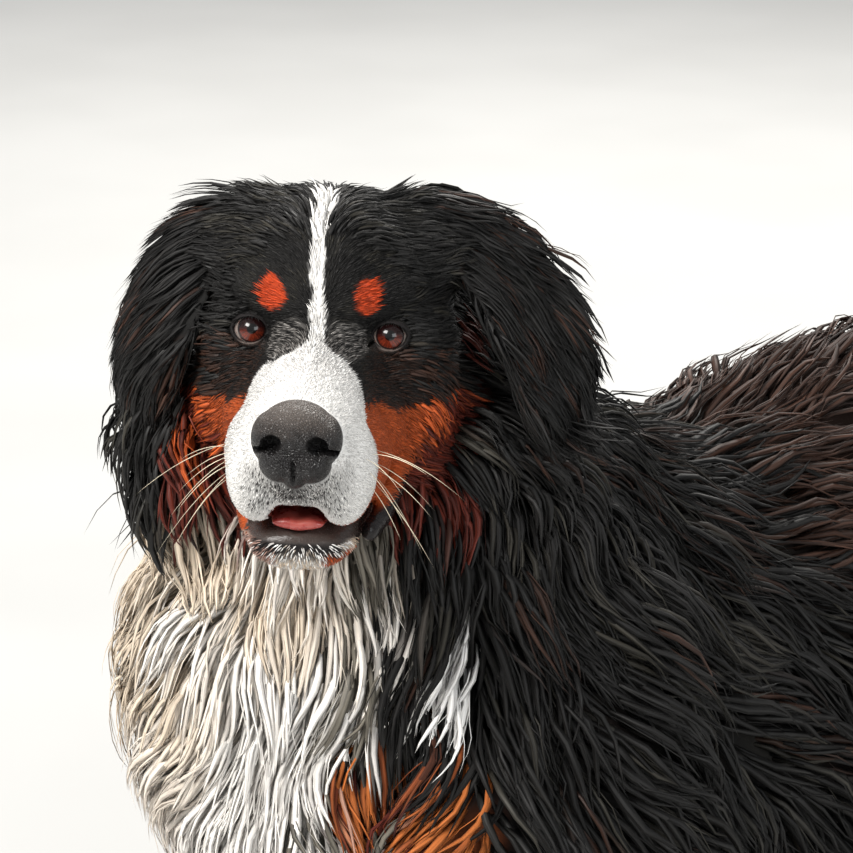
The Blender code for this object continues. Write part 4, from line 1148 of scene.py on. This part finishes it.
def gathered(paths, roots, bunch, pull, rng):
    """The locks drawn together in bunches of about this many, most at the tips."""
    leaders = rng.permutation(len(roots))[: max(1, len(roots) // bunch)]
    own = leaders[np.linalg.norm(roots[:, None] - roots[leaders][None], axis=2).argmin(axis=1)]
    near = np.linalg.norm(roots - roots[own], axis=1) < 0.03
    share = np.linspace(0, 1, paths.shape[1])[None, :] ** 1.3
    share = share * (near * pull * rng.uniform(0.5, 1.0, len(roots)))[:, None]
    return paths + (paths[own] - paths) * share[:, :, None]


def waved(paths, outward, lengths, wave, wavelength, phase, rng):
    """The paths swung from side to side, more towards the tips."""
    share = np.linspace(0, 1, paths.shape[1])[None, :]
    ahead = unit(np.gradient(paths, axis=1))
    aside = np.cross(outward, ahead)
    beat = 2 * math.pi * share * (lengths / wavelength)[:, None] + phase[:, None]
    swing = wave * lengths[:, None] * share ** 0.8 * rng.uniform(0.5, 1.4, len(paths))[:, None]
    return paths + aside * (swing * np.sin(beat))[:, :, None] + outward * (swing * 0.5 * np.cos(beat * 0.9))[:, :, None]


def blades(name, paths, outward, width, flatness, twist, colours, tips, uvs, finish):
    """Each path as a flat closed blade that tapers to a point, all in one mesh."""
    rng = np.random.default_rng(len(paths))
    count, rings = paths.shape[0], paths.shape[1] - 1
    ahead = unit(np.gradient(paths, axis=1))
    across = unit(np.cross(ahead, outward))
    above = np.cross(across, ahead)
    turn = twist[:, None, None]
    across, above = across * np.cos(turn) + above * np.sin(turn), above * np.cos(turn) - across * np.sin(turn)
    share = np.linspace(0, 1, rings + 1)[:-1]
    taper = np.where(share < 0.3, 0.45 + 1.83 * share, 1 - 0.9 * ((share - 0.3) / 0.7) ** 1.5)
    half = (width[:, None] * taper / 2)[:, :, None]
    deep = half * flatness
    body = paths[:, :-1]
    ring = np.stack([
        body - across[:, :-1] * half - above[:, :-1] * deep,
        body + above[:, :-1] * deep,
        body + across[:, :-1] * half - above[:, :-1] * deep,
    ], axis=2)
    per = rings * 3 + 1
    points = np.concatenate([ring.reshape(count, rings * 3, 3), paths[:, -1:]], axis=1)
    points[:, :, 2] = np.maximum(points[:, :, 2], LOWEST)
    faces = [[0, 1, 2]]
    for k in range(rings - 1):
        for j in range(3):
            n = (j + 1) % 3
            faces.append([3 * k + j, 3 * k + 3 + j, 3 * k + 3 + n, 3 * k + n])
    last = 3 * (rings - 1)
    faces += [[last + j, per - 1, last + (j + 1) % 3] for j in range(3)]
    loops = np.array([i for face in faces for i in face], np.int64)
    sizes = np.array([len(face) for face in faces], np.int64)
    every = (loops[None, :] + (np.arange(count) * per)[:, None]).ravel()
    starts = np.concatenate([[0], np.cumsum(np.tile(sizes, count))[:-1]])
    mesh = bpy.data.meshes.new(name)
    mesh.vertices.add(count * per)
    mesh.vertices.foreach_set("co", points.ravel())
    mesh.loops.add(len(every))
    mesh.loops.foreach_set("vertex_index", every.astype(np.int32))
    mesh.polygons.add(len(starts))
    mesh.polygons.foreach_set("loop_start", starts.astype(np.int32))
    mesh.update()
    mesh.polygons.foreach_set("use_smooth", np.ones(len(starts), bool))
    along = np.concatenate([np.repeat(share, 3), [1.0]])
    side = np.concatenate([np.tile([-1.0, 0.0, 1.0], rings), [0.0]])
    spread = np.stack([side * 0.5, along - 0.5], axis=1) * PATCH
    maps = mesh.uv_layers.new(name="OFBake")
    maps.data.foreach_set("uv", (uvs[:, None, :] + spread[loops][None]).ravel())
    grain = np.empty((count, per, 3), np.float32)
    grain[:, :, 0] = side[None, :] * width[:, None] * 500
    grain[:, :, 1] = along[None, :] * np.linalg.norm(paths[:, -1] - paths[:, 0], axis=1)[:, None] * 1000
    grain[:, :, 2] = rng.uniform(0, 60, count)[:, None]
    piece = bpy.data.objects.new(name, mesh)
    bpy.context.scene.collection.objects.link(piece)
    mesh.attributes.new("strand", "FLOAT_VECTOR", "POINT").data.foreach_set("vector", grain.ravel())
    fade = colours[:, None, :] * (1 - along[None, :, None]) + tips[:, None, :] * along[None, :, None]
    tinted(piece, fade.reshape(-1, 3))
    mesh.materials.append(finish)
    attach(piece, "root")
    print(name, count, int((sizes - 2).sum() * count))
    return piece


def coat_finish(name, roughness, contrast):
    """Hair: fine lighter and darker strands that run along each blade, partly the hairs' own tone and partly painted
    light and shade.
    """
    made, graph, shader = finish_of(name, BLACK, roughness, Specular_IOR_Level=0.30)
    colour = graph.node("ShaderNodeVertexColor", {"layer_name": "coat_colour"})
    strand = graph.node("ShaderNodeAttribute", {"attribute_name": "strand"}, output=1)
    fine = {0: strand, 1: (STRANDS_PER_MM, STRAND_REACH, 1.0)}
    strand = graph.node("ShaderNodeVectorMath", {"operation": "MULTIPLY"}, fine)
    streak = graph.node("ShaderNodeTexNoise", None, {"Vector": strand, "Scale": 1.0, "Detail": 2.0}).between(0.30, 0.68)
    # Painted light and shade: the streaks mix a lighter and a darker copy of the hair's colour, less far apart on pale
    # hair.
    depth = contrast - graph.node("ShaderNodeSeparateColor", None, {0: colour}, 0) * (contrast * 0.6)
    dark = graph.node("ShaderNodeVectorMath", {"operation": "SCALE"}, {0: colour, "Scale": 1 - depth})
    light = graph.node("ShaderNodeVectorMath", {"operation": "SCALE"}, {0: colour, "Scale": 1 + depth * 0.6})
    bump = graph.node("ShaderNodeBump", None, {"Height": streak, "Strength": 0.8, "Distance": 0.0004})
    feed(graph, shader, Base_Color=streak.mixed(dark, light), Roughness=roughness + 0.12 - streak * 0.16, Normal=bump)
    return made


long_hair = coat_finish("long_hair", 0.56, 0.62)
down_hair = coat_finish("down_hair", 0.78, 0.40)
short_hair = coat_finish("short_hair", 0.52, 0.65)


def varied(colours, rng, spread=0.2):
    """The colours a little lighter and darker from tuft to tuft."""
    return colours * rng.uniform(1 - spread, 1 + spread, len(colours))[:, None]


def coat_piece(name, part, where, locks, strands, length, height, width, lie, seed, rings=8, wave=0.05,
               wavelength=0.08, rise=0.4, stiff=0.5, cling=0.35, turn=0.25, bunch=7, pull=0.6,
               flat=0.24, finish=long_hair):
    """One piece of the coat on some parts of the skin: locks, and looser strands that follow them."""
    rng = np.random.default_rng(seed)
    own = [part_names.index(name) for name in part.split()]
    face_ids = np.flatnonzero(np.isin(skin_part, own) & (skin_middles[:, 2] > 0.005))
    weight = where(skin_middles[face_ids])
    face_ids, weight = face_ids[weight > 0.01], weight[weight > 0.01]
    uv_corners = unwrapped(face_ids)
    chosen, roots, shares = scattered(face_ids, weight, locks, rng)
    uvs = (uv_corners[chosen] * shares[:, :, None]).sum(axis=1)
    normals = skin_normals[face_ids[chosen]]
    lengths = length(roots) * rng.uniform(0.75, 1.15, locks)
    heights = height(roots) * rng.uniform(0.5, 1.1, locks) * (1 + 0.35 * ripple(roots, 0.05, seed + 11))
    paths, outward = combed(roots, normals, lengths, heights, rings, lie, stiff, cling, rise, turn, seed + 7)
    sway = 4 * ripple(roots, 0.06, seed + 9) + rng.normal(0, 0.5, locks)
    paths = waved(paths, outward, lengths, wave, wavelength, sway, rng)
    if strands:
        paths = gathered(paths, roots, bunch, pull, rng)
    paths[:, 0] = roots - normals * np.minimum(0.0015, lengths * 0.08)[:, None]
    showing = paths[:, round(rings * (0.8 if strands else 0.5))]
    colours = marking(showing, part.split()[0], 0.13 + 0.74 * rng.random(locks))
    widths = width(roots) * rng.uniform(0.6, 1.4, locks)
    finish = finish if strands else short_hair
    shades = varied(colours, rng, 0.2 if strands else 0.32)
    made = [blades(name, paths, outward, widths, flat, rng.normal(0, 1.4 * flat, locks), shades * 0.85,
                   varied(colours, rng, 0.1) * 1.1, uvs, finish)]
    if strands:
        owner = rng.integers(locks, size=strands)
        steps = max(4, rings - 1)
        share = np.linspace(0, 1, steps + 1)
        along = share[None, :] * rng.uniform(0.75, 1.0, strands)[:, None] * rings
        low = np.floor(along).astype(int).clip(0, rings - 1)
        part_way = (along - low)[:, :, None]
        rows = owner[:, None]
        own_paths = paths[rows, low] * (1 - part_way) + paths[rows, low + 1] * part_way
        own_out = outward[rows, low]
        ahead = unit(np.gradient(own_paths, axis=1))
        aside = np.cross(own_out, ahead)
        apart = rng.normal(0, 0.55, strands)[:, None] * widths[rows] * (1 + 1.4 * share[None, :] ** 2)
        above = np.abs(rng.normal(0, 0.35, strands))[:, None] * widths[rows] * (0.3 + 1.6 * share[None, :] ** 1.5)
        own_paths = own_paths + aside * apart[:, :, None] + own_out * above[:, :, None]
        own_paths = waved(own_paths, own_out, lengths[owner], wave * 0.5, wavelength * 0.7, rng.uniform(0, 6.3, strands), rng)
        thin = widths[owner] * rng.uniform(0.18, 0.36, strands)
        made.append(blades(
            f"{name}_strands", own_paths, own_out, thin, 0.5, rng.normal(0, 0.6, strands),
            varied(colours[owner], rng) * 0.9, varied(colours[owner], rng, 0.1) * 1.15,
            uvs[owner] + rng.uniform(-PATCH, PATCH, (strands, 2)), finish,
        ))
    return made


def face_lie(points, normals):
    """Back from the nose, up and outward over the brows and skull, back and down on the cheeks."""
    x, y, z = head_frame(points).T
    ax, side = np.abs(x), np.sign(x)
    bridge = step(-3.6, -1.2, y) * step(2.4, 0.6, z)
    skull = step(1.2, 3.0, z)
    under = step(0.0, -4.0, z) * step(-3.0, 0.0, y)
    front = step(-10.8, -12.2, y)
    across = side * (0.10 + 0.12 * ax) * (1 - bridge) + side * bridge * 1.1 * step(0.35, 1.3, ax)
    across = across + side * skull * (0.9 * step(0.3, 2.2, ax) + 0.5 * step(3.0, 6.0, ax))
    back = 1.0 - 0.35 * skull
    up = 0.55 * skull * step(6.0, 2.0, y) - 0.55 * under - 0.45 * step(-3.0, -5.0, z) - 0.9 * step(7.0, 10.0, y)
    up = up - 1.4 * front * step(-4.5, -6.0, z)
    back = back * (1 - 0.9 * front * step(-4.5, -6.0, z))
    return unit(np.stack([across, back, up], axis=1) @ np.array(HEAD_TURN).T)


def face_length(points):
    local = head_frame(points)
    x, y, z = local.T
    long = np.interp(y, [-12.5, -10, -6, -1, 1, 4], [0.0028, 0.0042, 0.0055, 0.0090, 0.0130, 0.0180])
    long = long * (1 - 0.75 * step(0.0, 0.40, round_eye(local, 0.9)))
    long = long + 0.008 * step(-3.0, -6.0, z) * step(-2.0, 3.0, y)
    return long * np.clip(distances(near_mouth, points) / 0.014, 0.3, 1.0)


def off_leather(points):
    """1 where hair may grow: not in the mouth, on the lips or close to the nose's leather."""
    lip, fold = bare_lip(head_frame(points))
    clear = (distances(near_mouth, points) > 0.0028) & (distances(near_nose, points) > 0.0002)
    return clear * (fold < 0.5)


def face_open(side, low, high, weights):
    """Where hair grows on one side of the head, between two distances back from the eyes."""

    def where(points):
        local = head_frame(points)
        x, y, z = local.T
        grows = (round_eye(local, -0.20) <= 0.0) & (x * side >= 0) & (y < 13.0)
        dense = 1 + 2.5 * step(0.0, 0.40, round_eye(local, 0.9))
        return grows * dense * off_leather(points) * np.interp(y, (low, low + 1.5, high - 1.5, high), weights)

    return where


def body_lie(points, normals):
    """Back along the spine, back and down on the flanks, down and outward on the chest."""
    side = 1 - np.maximum(0, normals[:, 2]) ** 2
    chest = step(-0.18, -0.28, points[:, 1])
    back = np.stack([normals[:, 0] * 0.15, 1 - 0.45 * side, -0.80 * side], axis=1)
    fan = np.sign(points[:, 0]) * 0.5 * step(0.0, 0.06, np.abs(points[:, 0]))
    down = np.stack([fan, np.full(len(side), 0.05), np.full(len(side), -1.0)], axis=1)
    return unit(back + (down - back) * chest[:, None])


def neck_lie(points, normals):
    behind = np.clip(0.5 + normals[:, 1] * 0.8, 0, 1)
    return unit(np.stack([normals[:, 0] * 0.55, -0.1 + 0.85 * behind, -1 + 0.25 * behind], axis=1))


def tail_lie(points, normals):
    centres = np.array([centre for centre, _ in TAIL])
    ways = unit(np.gradient(centres, axis=0))
    nearest = np.linalg.norm(points[:, None] - centres[None], axis=2).argmin(axis=1)
    return unit(ways[nearest] + normals * 0.25 + np.array([0, 0, -0.25]))


def leg_lie(points, normals):
    return unit(np.stack([normals[:, 0] * 0.1, np.full(len(points), 0.8), np.full(len(points), -0.45)], axis=1))


def ear_lie(side):
    centres = np.array([head_point(*centre) for centre, _, _ in EAR_LEAVES[side]])
    ways = unit(np.gradient(centres, axis=0))
    outer = np.array(HEAD_TURN @ EAR_WIDTHS[side]) * side

    def lie(points, normals):
        nearest = np.linalg.norm(points[:, None] - centres[None], axis=2).argmin(axis=1)
        return unit(ways[nearest] + outer * 0.45 + np.array([0, 0, -0.30]))

    return lie


def anywhere(points):
    return np.ones(len(points))


def on_chest(points):
    """1 on the throat and the front of the chest, where the hair is finest and fullest."""
    front = np.degrees(np.arctan2(points[:, 0], -(points[:, 1] + 0.16)))
    low_enough = step(-12.0, -14.5, head_frame(points)[:, 2])
    return step(-84, -74, front) * step(48, 38, front) * step(-0.12, -0.18, points[:, 1]) * low_enough


def half_of(side):
    def where(points):
        low = np.interp(points[:, 2], [0.0, 0.08], [0.3, 1.0])
        return (points[:, 0] * side > 0) * low * (1 - on_chest(points))

    return where


def even(value):
    return lambda points: np.full(len(points), value)


def sloped(axis, places, values):
    """A value that changes along one of the model's axes."""
    return lambda points: np.interp(points[:, axis], places, values)


def skull_length(points):
    x, y, z = head_frame(points).T
    return np.interp(y, [1, 4, 8, 12], [0.018, 0.026, 0.036, 0.046]) * np.interp(z, [-8, -4, 3], [1.25, 1.1, 1.0])


def neck_open(side):
    """Where the neck's hair grows: outside the mouth, and below the roots of the ears."""
    spread = half_of(side)

    def where(points):
        y, z = head_frame(points).T[1:]
        clear = (distances(near_mouth, points) > 0.012) * np.maximum(step(-4.0, -6.5, z), step(7.5, 9.5, y))
        return spread(points) * clear

    return where


def chest_lie(points, normals):
    """Down, and drawn a little towards the right side of the chest."""
    return unit(neck_lie(points, normals) + np.array((-0.40, -0.12, 0)))


def chin_open(points):
    """Where hair grows on the lower jaw, closest on the chin."""
    local = head_frame(points)
    return off_leather(points) * (bare_lip(local)[0] < 0.7) * np.interp(local[:, 1], [-7, -3], [4.0, 1.0])


def thigh_length(points):
    """Short hair on the foot, longer behind it, and longest on the thigh."""
    y, z = points[:, 1], points[:, 2]
    return np.maximum(np.interp(y, [0.10, 0.17, 0.24], [0.008, 0.016, 0.045]), np.interp(z, [0.06, 0.15], [0.010, 0.085]))


for side, name in ((LEFT, "left"), (RIGHT, "right")):
    coat_piece(
        f"coat_face_{name}", "head", face_open(side, -14.0, 5.0, (2.9, 2.9, 1.0, 0.3)), 15000, 0, face_length,
        lambda p: face_length(p) * 0.13 + 0.0002, lambda p: 0.00042 + face_length(p) * 0.042, face_lie, 21 + side,
        rings=2, rise=0.7, stiff=0.0, cling=1.0, wave=0.03, wavelength=0.02, turn=0.2,
    )
    coat_piece(
        f"coat_skull_{name}", "head", face_open(side, 0.5, 13.5, (0.0, 1.0, 1.0, 1.0)), 2300, 1300, skull_length,
        lambda p: skull_length(p) * 0.20, even(0.0029), face_lie, 25 + side,
        rings=4, wave=0.05, wavelength=0.05, stiff=0.3, cling=0.5, bunch=5, pull=0.35,
    )
    coat_piece(
        f"coat_ear_{name}", f"ear_{name}", anywhere, 1300, 1000, even(0.056), even(0.007), even(0.0034),
        ear_lie(side), 31 + side, rings=5, wave=0.055, wavelength=0.060, stiff=0.7, cling=0.12, pull=0.5,
    )
    coat_piece(
        f"coat_neck_{name}", "neck", neck_open(side), 2200, 1150,
        sloped(2, [0.25, 0.40, 0.48], [0.100, 0.085, 0.045]), sloped(2, [0.25, 0.40, 0.55], [0.032, 0.029, 0.016]),
        even(0.0044), neck_lie, 41 + side,
        rings=6, wave=0.085, wavelength=0.09, stiff=0.55, cling=0.15, turn=0.45, bunch=12, pull=0.75,
    )
    coat_piece(
        f"coat_trunk_{name}", "torso", half_of(side), 3000, 1300, even(0.092),
        sloped(1, [-0.30, -0.20, -0.10], [0.048, 0.038, 0.026]), even(0.0052), body_lie, 51 + side,
        rings=5, wave=0.08, wavelength=0.10, stiff=0.5, cling=0.3, turn=0.5, bunch=12, pull=0.75,
    )
    coat_piece(
        f"coat_foreleg_{name}", f"foreleg_{name}", sloped(1, [-0.5, -0.3, -0.2], [3.0, 2.0, 1.0]), 2400, 0,
        sloped(1, [-0.50, -0.40, -0.27, -0.18], [0.006, 0.014, 0.036, 0.062]),
        sloped(1, [-0.50, -0.40, -0.25, -0.15], [0.0015, 0.004, 0.010, 0.018]),
        sloped(1, [-0.50, -0.40, -0.20], [0.0012, 0.0018, 0.0038]), leg_lie, 61 + side, rings=4, wave=0.05,
        stiff=0.3, cling=0.6,
    )
    coat_piece(
        f"coat_hind_leg_{name}", f"hind_leg_{name}", lambda p: 3.5 - 2.5 * step(0.03, 0.08, thigh_length(p)),
        1800, 0, thigh_length, lambda p: thigh_length(p) * 0.25, lambda p: 0.0008 + thigh_length(p) * 0.048,
        leg_lie, 71 + side, rings=4, wave=0.06, stiff=0.4, cling=0.4,
    )
coat_piece(
    "coat_chest", "neck torso", on_chest, 3500, 2100, even(0.085),
    sloped(2, [0.12, 0.22, 0.38, 0.45], [0.018, 0.024, 0.022, 0.014]), even(0.0044), chest_lie, 47,
    rings=7, wave=0.075, wavelength=0.11, stiff=0.5, cling=0.25, turn=0.55, bunch=12, pull=0.6,
    flat=0.12, finish=down_hair,
)
coat_piece(
    "coat_tail", "tail", anywhere, 1200, 900, sloped(0, [0.02, 0.20], [0.095, 0.040]),
    sloped(0, [0.02, 0.20], [0.022, 0.014]), even(0.0055), tail_lie, 81,
    rings=6, wave=0.05, stiff=0.6, cling=0.12,
)
coat_piece(
    "coat_chin", "lower_jaw", chin_open, 3000, 0,
    lambda p: np.interp(head_frame(p)[:, 1], [-9, -5, 0], [0.0055, 0.009, 0.022]),
    even(0.0020), even(0.0008), face_lie, 91, rings=2, rise=0.7, stiff=0.0, cling=1.0,
)

# Whiskers
# Stiff cream hairs in rows on the pads of the upper lip, and short lashes on the upper lids.
rng = np.random.default_rng(101)
whiskers = []
for side in (LEFT, RIGHT):
    for row, (height, drop) in enumerate(((-5.2, 0.15), (-6.2, 0.45), (-7.2, 0.80))):
        for k in range(3):
            back = -10.8 + 1.3 * k + 0.4 * row
            way = (side * 0.85, -0.40 + 0.30 * k, -drop)
            whiskers.append((side, (side * 4.6, back, height), way, 0.034 + 0.006 * k))
paths = []
for side, place, way, length in whiskers:
    root, _, _, _ = skin_tree.find_nearest(head_point(*place))
    way = (HEAD_TURN @ Vector(way)).normalized() + Vector(rng.normal(0, 0.12, 3))
    length *= rng.uniform(0.65, 1.3)
    shares = np.linspace(0, 1, 9)
    sag = Vector((0, 0, -1))
    paths.append([root + way * length * s + sag * length * 0.38 * s * s for s in shares])
paths = np.array(paths)
count = len(paths)
outward = np.tile(np.array((0.0, 0.0, 1.0)), (count, 9, 1))
cream = np.tile((0.80, 0.70, 0.52), (count, 1))
shelf = np.stack([np.linspace(0.02, 0.98, count), np.full(count, 0.5)], axis=1)
blades("whiskers", paths, outward, np.full(count, 0.0005), 0.8, np.zeros(count), cream, cream, shelf, short_hair)

lash_paths, lash_out = [], []
for side in (LEFT, RIGHT):
    for k in range(26):
        angle = math.radians(22 + 136 * k / 25)
        x, z = math.cos(angle) * 1.24, 0.10 + math.sin(angle) * 0.98
        root = head_point(*(eye_centre(side) + Vector((x, -1.12, z))))
        near, normal, _, _ = skin_tree.find_nearest(root)
        way = (HEAD_TURN @ Vector((x * 0.30, -0.8, 0.10))).normalized() + Vector(rng.normal(0, 0.10, 3))
        long = 0.0065 * rng.uniform(0.7, 1.2)
        drop = HEAD_TURN @ Vector((x * 0.25, 0, -0.35))
        lash_paths.append([near + way * long * s + drop * long * s * s for s in np.linspace(0, 1, 5)])
        lash_out.append(np.tile(np.array(normal), (5, 1)))
lash_paths, lash_out = np.array(lash_paths), np.array(lash_out)
count = len(lash_paths)
dark = np.tile(BLACK, (count, 1))
shelf = np.stack([np.linspace(0.02, 0.98, count), np.full(count, 0.5)], axis=1)
blades("lashes", lash_paths, lash_out, np.full(count, 0.0005), 0.8, np.zeros(count), dark, dark, shelf, short_hair)
